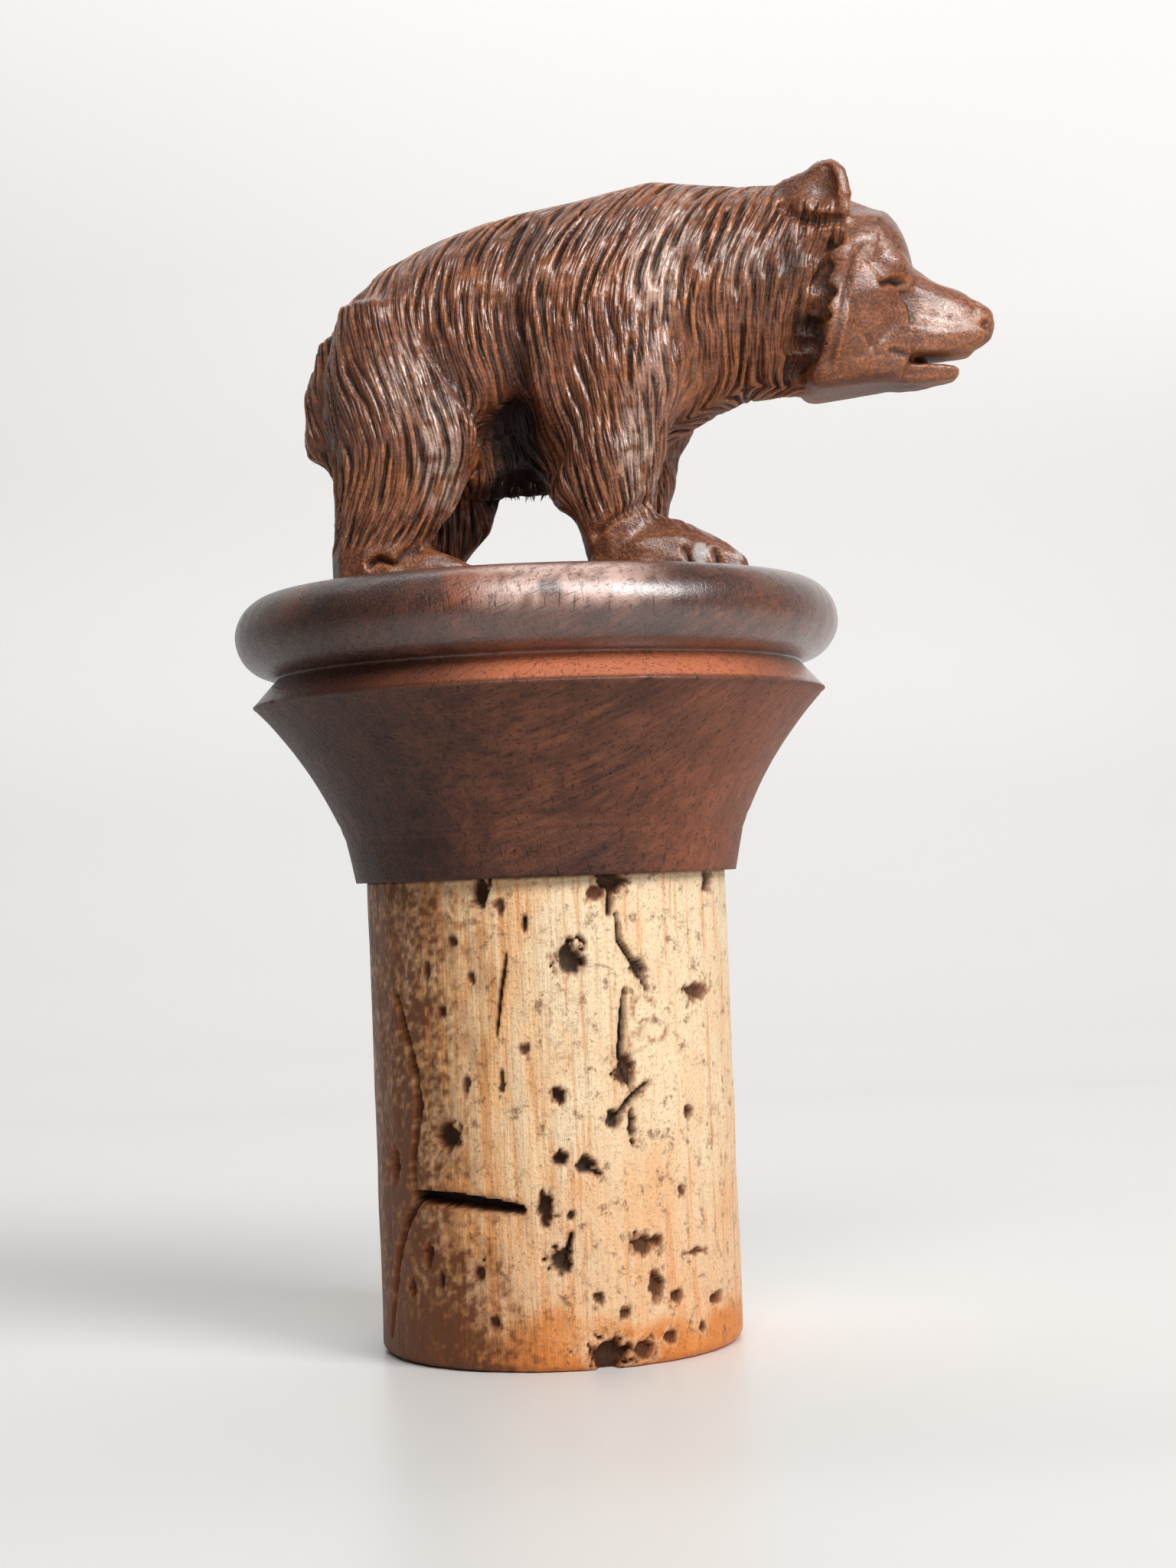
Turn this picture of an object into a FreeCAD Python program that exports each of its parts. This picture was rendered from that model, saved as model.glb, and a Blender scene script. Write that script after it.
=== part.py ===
import FreeCAD, Part
import Mesh
import Sketcher
import math
import os

# Wooden bottle stopper: a walking bear carved in the round stands on a turned
# wooden cap, and the cap's spigot is glued into a natural cork.
# Millimetres, Z up, origin at the middle of the cork's flat foot. The bear
# faces +X.

Vector = FreeCAD.Vector
Rotation = FreeCAD.Rotation
Placement = FreeCAD.Placement

doc = FreeCAD.newDocument("BottleStopper")

# Driving sizes of the cork, the cap and the pegs
TURNED_SIZES = {
    "cork_radius": 10.0,
    "cork_length": 25.7,
    "cork_foot_round": 0.6,
    "cork_mouth_round": 0.25,
    "spigot_radius": 4.0,
    "spigot_length": 15.0,
    "glue_gap": 0.05,
    "collar_radius": 10.55,
    "band_radius": 11.05,
    "band_rise": 2.35,
    "cove_radius": 22.0,
    "rim_radius": 15.9,
    "rim_rise": 9.85,
    "rim_round": 0.12,
    "groove_radius": 14.5,
    "groove_rise": 11.4,
    "bead_radius": 2.25,
    "peg_radius": 0.75,
    "peg_fit": 0.02,
    "peg_in_leg": 4.0,
    "peg_in_cap": 5.0,
    "peg_end_gap": 0.2,
}

# Sizes of the carved details of the bear. Heights are above the cap's top.
DETAIL_SIZES = {
    "tail_place": -11.35,
    "tail_height": 11.0,
    "tail_long": 1.3,
    "tail_wide": 1.6,
    "tail_tall": 3.6,
    "cheek_place": 18.6,
    "cheek_height": 15.2,
    "cheek_long": 2.7,
    "cheek_wide": 4.7,
    "cheek_tall": 4.5,
    "brow_place": 19.9,
    "brow_height": 18.3,
    "brow_long": 1.6,
    "brow_wide": 3.1,
    "brow_tall": 1.5,
    "jaw_place": 20.4,
    "jaw_height": 11.5,
    "jaw_long": 3.75,
    "jaw_wide": 2.0,
    "jaw_tall": 1.0,
    "nose_place": 24.9,
    "nose_height": 14.0,
    "nose_long": 1.4,
    "nose_wide": 1.4,
    "nose_tall": 1.35,
    "nostril_radius": 0.32,
    "mouth_corner": 21.4,
    "mouth_height": 11.7,
    "mouth_slit": 0.45,
    "eye_place": 20.6,
    "eye_height": 16.1,
    "eye_radius": 0.6,
    "eye_sink": 0.3,
    "socket_long": 1.1,
    "socket_tall": 0.8,
    "socket_deep": 0.45,
    "ear_place": 16.8,
    "ear_spread": 2.9,
    "ear_sink": 1.5,
    "ear_wide": 1.65,
    "ear_thick": 0.85,
    "ear_tall": 2.25,
    "ear_turn": 35.0,
    "ear_wall": 0.45,
    "fore_paw_place": 7.0,
    "fore_paw_long": 4.0,
    "fore_paw_tall": 3.3,
    "hind_paw_place": -6.9,
    "hind_paw_long": 3.1,
    "hind_paw_tall": 2.6,
    "paw_wide": 2.3,
    "toe_long": 2.3,
    "toe_wide": 0.66,
    "toe_tall": 1.7,
    "toe_pitch": 1.1,
    "fore_stride": 1.0,
    "hind_stride": 1.0,
    "fur_long": 2.6,
    "fur_wide": 0.75,
    "fur_deep": 0.28,
    "fur_step_along": 1.7,
    "fur_step_up": 2.7,
    "fur_lean": 55.0,
    "fur_start": -10.6,
    "fur_end": 14.4,
    "fur_lowest": 3.6,
    "fur_margin": 1.0,
}

# Upright slices of the body from the rump to the forehead, each with its
# place along the body, its top, its underside and its half width
BODY_SLICES = {
    "rump": (-11.4, 12.4, 6.9, 2.4),
    "croup": (-10.9, 14.3, 6.1, 3.4),
    "pelvis": (-9.9, 16.5, 5.7, 4.2),
    "hip": (-7.9, 18.3, 5.5, 4.9),
    "loin": (-5.0, 19.75, 5.2, 5.2),
    "waist": (-1.3, 21.05, 5.1, 5.3),
    "ribs": (2.6, 21.75, 5.4, 5.2),
    "hump": (7.3, 22.8, 7.3, 5.1),
    "withers": (9.6, 22.5, 8.9, 4.8),
    "neck": (12.2, 22.3, 10.1, 4.4),
    "nape": (15.0, 22.3, 10.3, 4.1),
    "crown": (18.4, 21.2, 10.6, 4.2),
    "forehead": (20.3, 20.4, 11.0, 3.6),
    "brow_edge": (21.2, 19.4, 11.6, 2.8),
    "face": (21.6, 18.0, 12.4, 2.1),
}

# Upright slices of the upper muzzle
MUZZLE_SLICES = {
    "muzzle_root": (19.6, 17.7, 11.9, 2.7),
    "muzzle_bridge": (22.0, 17.2, 11.85, 2.3),
    "muzzle_middle": (23.6, 16.3, 11.95, 1.95),
    "muzzle_front": (24.7, 15.7, 12.15, 1.55),
}

# Level slices of the legs, each with its height, its place along the body,
# its half length, its place across the body and its half thickness
FORE_LEG_SLICES = {
    "shoulder_cap": (15.0, 5.6, 3.2, 2.9, 1.9),
    "shoulder": (11.5, 5.4, 4.0, 3.5, 2.3),
    "elbow": (7.0, 4.75, 2.9, 3.9, 2.1),
    "forearm": (4.4, 4.25, 2.55, 4.0, 1.75),
    "wrist": (2.6, 4.6, 2.0, 4.0, 1.6),
    "fore_sole": (0.0, 5.4, 2.2, 4.0, 1.7),
}
HIND_LEG_SLICES = {
    "haunch_cap": (16.0, -7.0, 3.3, 2.7, 1.8),
    "haunch": (12.0, -6.8, 4.4, 3.3, 2.4),
    "knee": (8.0, -6.5, 4.5, 3.7, 2.3),
    "hock": (4.0, -7.5, 3.4, 3.9, 1.9),
    "ankle": (2.4, -8.2, 2.75, 3.9, 1.7),
    "hind_sole": (0.0, -8.1, 2.85, 3.9, 1.8),
}

# How the knife leaves the carving: corners of a slice, fullness of its oval,
# rings of a rounded mass, toes of a paw and where they and the nostrils sit
BODY_FACETS = 16
LEG_FACETS = 10
PEBBLE_FACETS = 10
PEBBLE_STEP = 36.0
OVAL_FULLNESS = 0.9
TOES = 4
TOE_SETBACK = 0.5
TOE_FAN = 0.12
NOSTRIL_FORWARD = 0.8
NOSTRIL_RISE = 0.3
NOSTRIL_OUT = 0.5
SKIN_FINENESS = 0.05
FUR_FEEL = 0.3
FUR_FACING = 0.45
FUR_STEP = 0.9
FUR_GAP = 0.05
SIDES = ((-1, "_near"), (1, "_far"))
UPRIGHT_SIZES = ("place", "top", "under", "half")
LEVEL_SIZES = ("height", "place", "long", "across", "thick")

# Pits of the cork's bark: turn from the near side towards the bear's nose in
# degrees, height, half width, half height and depth
CORK_PITS = (
    (7, 21.3, 0.7, 0.85, 0.7),
    (-35, 12.3, 0.7, 0.85, 0.6),
    (2, 14.3, 0.4, 0.45, 0.5),
    (2, 11.0, 0.45, 0.4, 0.6),
    (9, 10.6, 0.45, 0.4, 0.6),
    (-3, 8.5, 0.4, 0.8, 0.6),
    (1, 5.8, 0.6, 0.7, 0.7),
    (19, 12.9, 0.45, 0.5, 0.6),
    (31, 4.1, 0.4, 0.8, 0.6),
    (31, 6.4, 0.35, 0.35, 0.4),
    (31, 17.9, 0.8, 1.1, 0.4),
    (23, 15.5, 0.4, 0.9, 0.5),
    (21, 25.3, 0.8, 0.6, 0.7),
    (-20, 25.0, 0.4, 0.5, 0.5),
    (15, 0.6, 1.0, 0.9, 0.8),
    (118, 16.5, 0.6, 0.8, 0.6),
    (150, 7.2, 0.5, 0.9, 0.6),
    (176, 20.1, 0.7, 0.6, 0.6),
    (-160, 12.0, 0.5, 0.7, 0.5),
    (-124, 5.5, 0.6, 0.6, 0.5),
    (-105, 18.4, 0.5, 0.9, 0.6),
)

# Cracks of the cork: turns and heights that each one runs through, the width
# it gapes to and its depth
CORK_CRACKS = (
    (((-54, 18.8), (-50, 17.2), (-46, 15.0), (-50, 10.8), (-48, 8.9)), 0.3, 0.6),
    (((-48, 8.8), (-57, 7.0), (-62, 5.4), (-67, 1.8)), 0.35, 0.6),
    (((-48, 9.0), (-11, 8.45)), 0.55, 1.2),
    (((-12, 21.8), (-16, 17.8)), 0.2, 0.4),
    (((19, 12.9), (31, 14.6)), 0.25, 0.5),
    (((22, 22.4), (29, 20.7)), 0.2, 0.4),
    (((140, 22.5), (146, 17.0), (141, 12.5)), 0.3, 0.5),
    (((-140, 9.0), (-132, 3.2)), 0.3, 0.5),
)

sheet = doc.addObject("Spreadsheet::Sheet", "Sizes")


def fill_sheet():
    """Write every driving size into the sheet, one row each, with its alias."""
    rows = dict(TURNED_SIZES)
    rows.update(DETAIL_SIZES)
    for table, fields in (
        (BODY_SLICES, UPRIGHT_SIZES),
        (MUZZLE_SLICES, UPRIGHT_SIZES),
        (FORE_LEG_SLICES, LEVEL_SIZES),
        (HIND_LEG_SLICES, LEVEL_SIZES),
    ):
        for name, values in table.items():
            for field, value in zip(fields, values):
                rows[name + "_" + field] = value
    for row, (alias, value) in enumerate(rows.items(), start=1):
        sheet.set("A%d" % row, alias)
        sheet.set("B%d" % row, str(value))
        sheet.setAlias("B%d" % row, alias)


fill_sheet()
doc.recompute()


def size(alias):
    """Value of one driving size."""
    return float(sheet.get(alias))


def bind(thing, **formulas):
    """Bind properties of an object to formulas of the sheet's sizes.

    A size is written in braces, and at_x, at_y and at_z stand for the place.
    """
    for name, formula in formulas.items():
        path = name
        if name.startswith("at_"):
            path = ".Placement.Base." + name[-1]
        thing.setExpression(path, formula.replace("{", "Sizes.").replace("}", ""))
    return thing


def primitive(kind, name, **formulas):
    """Part primitive of one kind, bound to the sheet."""
    return bind(doc.addObject("Part::" + kind, name), **formulas)


def fuse(name, shapes):
    """One solid out of several that meet."""
    joined = doc.addObject("Part::MultiFuse", name)
    joined.Shapes = shapes
    joined.Refine = False
    return joined


def cut(name, base, tool):
    """Base with the tool taken out of it."""
    piece = doc.addObject("Part::Cut", name)
    piece.Base = base
    piece.Tool = tool
    piece.Refine = False
    return piece


def origin_plane(body, role):
    """Origin plane of a body by its role."""
    return [item for item in body.Origin.OriginFeatures if item.Role == role][0]


def turned_body(name, corners, arcs):
    """Body turned about Z from a half profile.

    Args:
        name: name of the body.
        corners: formulas (radius, height) of the profile's corners, the first
            and the last on the axis.
        arcs: for a stretch that is round, by its first corner, the formula of
            its radius, the side on which its centre lies, 1 or -1, and for a
            half circle the formula of the centre's distance from the axis.
    """
    body = doc.addObject("PartDesign::Body", name)
    sketch = body.newObject("Sketcher::SketchObject", name + "_profile")
    sketch.AttachmentSupport = (origin_plane(body, "XZ_Plane"), "")
    sketch.MapMode = "FlatFace"
    points = [Vector(number(across), number(up), 0) for across, up in corners]
    count = len(points)
    for index in range(count):
        start = points[index]
        end = points[(index + 1) % count]
        if index in arcs:
            radius, side, centre = arcs[index]
            sketch.addGeometry(arc_between(start, end, number(radius), side), False)
        else:
            sketch.addGeometry(Part.LineSegment(start, end), False)
    clockwise = [index in arcs and arcs[index][1] == -1 for index in range(count)]
    ends = [(2, 1) if turned else (1, 2) for turned in clockwise]
    for index in range(count):
        after = (index + 1) % count
        sketch.addConstraint(
            Sketcher.Constraint("Coincident", index, ends[index][1], after, ends[after][0])
        )
    for index, (across, up) in enumerate(corners):
        for kind, formula, axis in (("DistanceX", across, -2), ("DistanceY", up, -1)):
            if formula == "0":
                sketch.addConstraint(
                    Sketcher.Constraint("PointOnObject", index, ends[index][0], axis)
                )
                continue
            place = sketch.addConstraint(
                Sketcher.Constraint(kind, -1, 1, index, ends[index][0], number(formula))
            )
            bind_constraint(sketch, place, formula)
    for index, (radius, side, centre) in arcs.items():
        if centre:
            round_off = Sketcher.Constraint("DistanceX", -1, 1, index, 3, number(centre))
        else:
            round_off = Sketcher.Constraint("Radius", index, number(radius))
        bind_constraint(sketch, sketch.addConstraint(round_off), centre or radius)
    turned = body.newObject("PartDesign::Revolution", name + "_turned")
    turned.Profile = sketch
    turned.ReferenceAxis = (sketch, ["V_Axis"])
    turned.Angle = 360.0
    return body


def number(formula):
    """Value of a formula of the sheet's sizes."""
    text = formula
    for alias in TURNED_SIZES:
        text = text.replace("{" + alias + "}", repr(size(alias)))
    return float(FreeCAD.Units.parseQuantity(text))


def bind_constraint(sketch, place, formula):
    """Bind one constraint of a sketch to the sheet."""
    text = formula.replace("{", "Sizes.").replace("}", "")
    sketch.setExpression("Constraints[%d]" % place, text)


def arc_between(start, end, radius, side):
    """Arc of a given radius from start to end, kept anticlockwise.

    Args:
        start: first point.
        end: last point.
        radius: radius of the arc.
        side: 1 if the centre lies left of the way from start to end, else -1.
    """
    chord = end.sub(start)
    half = chord.Length / 2.0
    rise = math.sqrt(max(radius * radius - half * half, 0.0))
    left = Vector(-chord.y, chord.x, 0).normalize()
    centre = start.add(end).multiply(0.5).add(left.multiply(side * rise))
    first, last = (start, end) if side == 1 else (end, start)
    first_angle = math.atan2(first.y - centre.y, first.x - centre.x)
    last_angle = math.atan2(last.y - centre.y, last.x - centre.x)
    if last_angle < first_angle:
        last_angle += 2.0 * math.pi
    circle = Part.Circle(centre, Vector(0, 0, 1), radius)
    return Part.ArcOfCircle(circle, first_angle, last_angle)


# Cork: a plug with rounded ends, bored for the spigot
CORK_TOP = "{cork_length}"
BORE_FLOOR = "{cork_length} - {spigot_length} - {glue_gap}"
cork_blank = turned_body(
    "cork_blank",
    (
        ("0", "0"),
        ("{cork_radius} - {cork_foot_round}", "0"),
        ("{cork_radius}", "{cork_foot_round}"),
        ("{cork_radius}", CORK_TOP + " - {cork_mouth_round}"),
        ("{cork_radius} - {cork_mouth_round}", CORK_TOP),
        ("{spigot_radius} + {glue_gap}", CORK_TOP),
        ("{spigot_radius} + {glue_gap}", BORE_FLOOR),
        ("0", BORE_FLOOR),
    ),
    {1: ("{cork_foot_round}", 1, ""), 3: ("{cork_mouth_round}", 1, "")},
)

# Cap: spigot, collar, band, hollow cove, sharp rim, chamfer and bead in one
# turning. Its profile starts at the spigot's end.
cap_blank = turned_body(
    "cap_blank",
    (
        ("0", "0"),
        ("{spigot_radius}", "0"),
        ("{spigot_radius}", "{spigot_length}"),
        ("{collar_radius}", "{spigot_length}"),
        ("{band_radius}", "{spigot_length} + {band_rise}"),
        ("{rim_radius} - {rim_round}", "{spigot_length} + {rim_rise} - {rim_round}"),
        ("{rim_radius} - {rim_round}", "{spigot_length} + {rim_rise} + {rim_round}"),
        ("{groove_radius}", "{spigot_length} + {groove_rise}"),
        ("{groove_radius}", "{spigot_length} + {groove_rise} + 2 * {bead_radius}"),
        ("0", "{spigot_length} + {groove_rise} + 2 * {bead_radius}"),
    ),
    {
        4: ("{cove_radius}", -1, ""),
        5: ("{rim_round}", 1, "{rim_radius} - {rim_round}"),
        7: ("{bead_radius}", 1, "{groove_radius}"),
    },
)
CAP_TOP = "{cork_length} + {groove_rise} + 2 * {bead_radius}"


def feature_of(name, shape):
    """Object of the document that holds a carved shape."""
    feature = doc.addObject("Part::Feature", name)
    feature.Shape = shape
    return feature


def flat_sided(facets):
    """Solid bounded by flat facets, each a list of its corners."""
    faces = [Part.Face(Part.makePolygon(list(facet) + [facet[0]])) for facet in facets]
    shell = Part.makeShell(faces)
    shell.sewShape()
    solid = Part.makeSolid(shell)
    if solid.Volume < 0.0:
        solid.reverse()
    return solid


def gouge(start, middle, end, outward, wide, deep):
    """Pointed cut of a gouge or crack.

    Args:
        start: where it starts on the surface.
        middle: where it is widest and deepest on the surface.
        end: where it ends on the surface.
        outward: outward normal at the middle.
        wide: width at the middle.
        deep: depth at the middle.
    """
    across = end.sub(start).cross(outward).normalize().multiply(wide)
    over = middle.add(Vector(outward).multiply(deep))
    waist = (
        middle.add(across),
        over,
        middle.sub(across),
        middle.sub(Vector(outward).multiply(deep)),
    )
    facets = []
    for index in range(len(waist)):
        after = (index + 1) % len(waist)
        facets.append((start, waist[after], waist[index]))
        facets.append((end, waist[index], waist[after]))
    return flat_sided(facets)


def ring(count, corner):
    """Corners of one ring of knife cuts.

    Args:
        count: number of corners.
        corner: function that places the corner for a turn in radians.
    """
    return [corner(2.0 * math.pi * index / count) for index in range(count)]


def fuller(value):
    """Sine or cosine pushed outwards, which makes a fuller oval."""
    return math.copysign(abs(value) ** OVAL_FULLNESS, value)


def whittled(name, rings):
    """Solid whose sides are flat facets between a row of rings."""
    facets = []
    for lower, upper in zip(rings[:-1], rings[1:]):
        for index in range(len(lower)):
            after = (index + 1) % len(lower)
            facets.append((lower[index], lower[after], upper[after]))
            facets.append((lower[index], upper[after], upper[index]))
    facets.extend((rings[0], rings[-1]))
    return feature_of(name, flat_sided(facets))


def upright_ring(name):
    """Ring of an upright slice across the body, by the sizes of its name."""
    along, top, under, half = [size(name + "_" + field) for field in UPRIGHT_SIZES]

    def corner(turn):
        rise = (top - under) / 2.0 * fuller(math.cos(turn))
        return Vector(along, half * fuller(math.sin(turn)), (top + under) / 2.0 + rise)

    return ring(BODY_FACETS, corner)


def level_ring(name, side, stride):
    """Ring of a level slice through a leg, by the sizes of its name."""
    height, along, long, across, thick = [size(name + "_" + field) for field in LEVEL_SIZES]

    def corner(turn):
        return Vector(
            along + stride + long * math.cos(turn),
            side * (across + thick * math.sin(turn)),
            height,
        )

    return ring(LEG_FACETS, corner)


def pebble(name, centre, radii, turn=0.0, first_ring=-2):
    """Rounded mass with flat-cut facets.

    Args:
        name: name of the object.
        centre: middle of the mass.
        radii: half length, half width and half height.
        turn: turn about the upright in degrees.
        first_ring: lowest ring, -2 for a whole pebble and 0 for a dome.
    """
    rings = []
    for level in range(first_ring, 3):
        tilt = math.radians(PEBBLE_STEP * level)
        wide = math.cos(tilt)
        rise = radii[2] * math.sin(tilt) / math.sin(math.radians(PEBBLE_STEP * 2))

        def corner(angle):
            return Vector(
                radii[0] * wide * math.cos(angle), radii[1] * wide * math.sin(angle), rise
            )

        rings.append(ring(PEBBLE_FACETS, corner))
    feature = whittled(name, rings)
    feature.Placement = Placement(Vector(*centre), Rotation(Vector(0, 0, 1), turn))
    return feature


def sized_pebble(name):
    """Pebble on the middle line whose sizes carry its own name."""
    return pebble(
        name,
        (size(name + "_place"), 0.0, size(name + "_height")),
        (size(name + "_long"), size(name + "_wide"), size(name + "_tall")),
    )


def paw(kind, sole, side, mark, stride):
    """Broad paw with four toes, flat on the cap."""
    along = size(kind + "_place") + stride
    across = side * size(sole + "_across")
    long, wide, tall = size(kind + "_long"), size("paw_wide"), size(kind + "_tall")
    toe = (size("toe_long"), size("toe_wide"), size("toe_tall"))
    domes = [pebble(kind + mark, (along, across, 0.0), (long, wide, tall), first_ring=0)]
    for index in range(TOES):
        offset = index - (TOES - 1) / 2.0
        reach = along + long - toe[0] * (TOE_SETBACK + TOE_FAN * abs(offset))
        place = (reach, across + offset * size("toe_pitch"), 0.0)
        domes.append(pebble("%s_toe_%d%s" % (kind, index + 1, mark), place, toe, first_ring=0))
    return domes


def ear_and_hollow(side, mark):
    """Ear with the hollow of its shell, which opens forwards and outwards."""
    turn = side * size("ear_turn")
    thick, wall = size("ear_thick"), size("ear_wall")
    wide, tall = size("ear_wide"), size("ear_tall")
    height = size("nape_top") - size("ear_sink")
    place = Vector(size("ear_place"), side * size("ear_spread"), height)
    outward = Rotation(Vector(0, 0, 1), turn).multVec(Vector(0, side * thick, wall))
    shell = pebble("ear" + mark, tuple(place), (wide, thick, tall), turn)
    inner = (wide - wall, thick, tall - wall)
    return shell, pebble("ear_hollow" + mark, tuple(place.add(outward)), inner, turn)


def skin_of(form):
    """Mesh of a form's surface, for finding places on it."""
    corners, facets = form.tessellate(SKIN_FINENESS)
    return Mesh.Mesh([[corners[index] for index in facet] for facet in facets])


def touch(skin, along, height, side):
    """Outermost point of the skin on one side at a place and height, or None."""
    reach = 4.0 * size("waist_half")
    hits = skin.foraminate((along, side * reach, height), (0.0, -float(side), 0.0))
    if not hits:
        return None
    return max((Vector(*hit) for hit in hits.values()), key=lambda hit: side * hit.y)


def eye_ring(skin, side, mark):
    """Groove cut round the eyeball, sunk into the face."""
    centre = touch(skin, size("eye_place"), size("eye_height"), side)
    centre = tuple(centre.sub(Vector(0, side * size("eye_sink"), 0)))
    round_off = size("eye_radius")
    deep = (size("socket_long"), size("socket_deep"), size("socket_tall"))
    socket = pebble("eye_socket" + mark, centre, deep)
    eyeball = pebble("eyeball" + mark, centre, (round_off, round_off, round_off))
    return cut("eye_ring" + mark, socket, eyeball)


masses = [
    whittled("body_form", [upright_ring(name) for name in BODY_SLICES]),
    whittled("muzzle_form", [upright_ring(name) for name in MUZZLE_SLICES]),
]
masses.extend(sized_pebble(name) for name in ("tail", "cheek", "brow", "jaw", "nose"))
hollows = []

# Legs, paws, ears, eyes and nostrils on both sides. The far legs are a stride
# ahead of the near ones.
for side, mark in SIDES:
    for label, slices, sole in (
        ("fore", FORE_LEG_SLICES, "fore_sole"),
        ("hind", HIND_LEG_SLICES, "hind_sole"),
    ):
        stride = size(label + "_stride") if side > 0 else 0.0
        rings = [level_ring(name, side, stride) for name in slices]
        masses.append(whittled(label + "_leg" + mark, rings))
        masses.extend(paw(label + "_paw", sole, side, mark, stride))
    ear, ear_hollow = ear_and_hollow(side, mark)
    masses.append(ear)
    hollows.append(ear_hollow)
    nostril = size("nostril_radius")
    hollows.append(
        pebble(
            "nostril" + mark,
            (
                size("nose_place") + size("nose_long") * NOSTRIL_FORWARD,
                side * size("nose_wide") * NOSTRIL_OUT,
                size("nose_height") + size("nose_tall") * NOSTRIL_RISE,
            ),
            (nostril, nostril, nostril),
        )
    )

hollows.append(
    primitive(
        "Box",
        "mouth",
        Length="{nose_place} - {mouth_corner} + {nose_long}",
        Width="4 * {jaw_wide}",
        Height="{mouth_slit}",
        at_x="{mouth_corner}",
        at_y="-2 * {jaw_wide}",
        at_z="{mouth_height}",
    )
)

# Two pegs fasten the bear: one under the near fore leg, one under the far
# hind leg. Each has a hole in the leg and one in the cap.
PEGS = {
    "fore_peg": ("{wrist_place}", "-{wrist_across}"),
    "hind_peg": ("{ankle_place} + {hind_stride}", "{ankle_across}"),
}
cap_holes = []
pegs = []
for name, (along, across) in PEGS.items():
    pegs.append(
        primitive(
            "Cylinder",
            name,
            Radius="{peg_radius}",
            Height="{peg_in_leg} + {peg_in_cap}",
            at_x=along,
            at_y=across,
            at_z=CAP_TOP + " - {peg_in_cap}",
        )
    )
    hollows.append(
        primitive(
            "Cylinder",
            name + "_leg_hole",
            Radius="{peg_radius} + {peg_fit}",
            Height="2 * ({peg_in_leg} + {peg_end_gap})",
            at_x=along,
            at_y=across,
            at_z="-({peg_in_leg} + {peg_end_gap})",
        )
    )
    cap_holes.append(
        primitive(
            "Cylinder",
            name + "_cap_hole",
            Radius="{peg_radius} + {peg_fit}",
            Height="2 * ({peg_in_cap} + {peg_end_gap})",
            at_x=along,
            at_y=across,
            at_z="{spigot_length} + {groove_rise} + 2 * {bead_radius}"
            " - ({peg_in_cap} + {peg_end_gap})",
        )
    )


def fur_cuts(skin):
    """Gouge cuts of the coat over the body, the haunches and the legs.

    Args:
        skin: mesh of the bear without its coat.

    Returns:
        Pointed cuts that don't meet, staggered from row to row. They lean
        forwards on the back and hang down the flanks.
    """
    cuts = []
    taken = []
    highest = max(size(name + "_top") for name in BODY_SLICES) - size("fur_margin")
    columns = int((size("fur_end") - size("fur_start")) / size("fur_step_along")) + 1
    rows = int((highest - size("fur_lowest")) / size("fur_step_up")) + 1
    for side in (-1, 1):
        for column in range(columns):
            along = size("fur_start") + column * size("fur_step_along")
            for row in range(rows):
                height = size("fur_lowest") + (row + 0.5 * (column % 2)) * size("fur_step_up")
                share = (height - size("fur_lowest")) / (highest - size("fur_lowest"))
                lean = math.radians(size("fur_lean") * share * share)
                long = size("fur_long") / 2.0
                way = Vector(long * math.sin(lean), 0, long * math.cos(lean))
                places = ((0, 0), (-way.x, -way.z), (way.x, way.z), (FUR_FEEL, 0), (0, FUR_FEEL))
                felt = [touch(skin, along + dx, height + dz, side) for dx, dz in places]
                if None in felt:
                    continue
                middle, low, high, beside, above = felt
                wide, deep = size("fur_wide") / 2.0, size("fur_deep")
                spots = ((low, 0.0), (middle, wide), (high, 0.0))
                gap = min(
                    (
                        here.distanceToPoint(there) - room - other
                        for here, room in spots
                        for there, other in taken
                    ),
                    default=math.inf,
                )
                outward = beside.sub(middle).cross(above.sub(middle)).normalize()
                if outward.y * side < 0.0:
                    outward = outward.negative()
                step = abs(low.y + high.y - 2.0 * middle.y)
                if outward.y * side < FUR_FACING or step > FUR_STEP or gap < FUR_GAP:
                    continue
                taken.extend(spots)
                cuts.append(gouge(low, middle, high, outward, wide, deep))
    return Part.makeCompound(cuts)


bear_form = fuse("bear_form", masses)
doc.recompute()
bear_skin_mesh = skin_of(bear_form.Shape)
hollows.extend(eye_ring(bear_skin_mesh, side, mark) for side, mark in SIDES)
fur = feature_of("fur", fur_cuts(bear_skin_mesh))
bear_skin = cut("bear_skin", bear_form, fur)
bear = cut("carved_bear", bear_skin, fuse("bear_hollows", hollows))
bind(bear, at_z=CAP_TOP)
cap = cut("turned_cap", cap_blank, fuse("cap_holes", cap_holes))
bind(cap, at_z="{cork_length} - {spigot_length}")


def cork_place(turn, height):
    """Point on the cork's side."""
    angle = math.radians(turn)
    radius = size("cork_radius")
    return Vector(radius * math.sin(angle), -radius * math.cos(angle), height)


def cork_marks():
    """Pits and cracks of the bark, as the tools that cut them."""
    marks = []
    for index, (turn, height, wide, tall, deep) in enumerate(CORK_PITS, start=1):
        place = tuple(cork_place(turn, height))
        marks.append(pebble("pit_%d" % index, place, (wide, deep, tall), turn))
    for index, (route, gape, deep) in enumerate(CORK_CRACKS, start=1):
        cuts = []
        for (turn, height), (next_turn, next_height) in zip(route[:-1], route[1:]):
            middle = cork_place((turn + next_turn) / 2.0, (height + next_height) / 2.0)
            outward = Vector(middle.x, middle.y, 0).normalize()
            start, end = cork_place(turn, height), cork_place(next_turn, next_height)
            cuts.append(gouge(start, middle, end, outward, gape / 2.0, deep))
        marks.extend(
            feature_of("crack_%d_%d" % (index, step), each) for step, each in enumerate(cuts)
        )
    return marks


cork = cut("cork", cork_blank, fuse("cork_marks", cork_marks()))

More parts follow.
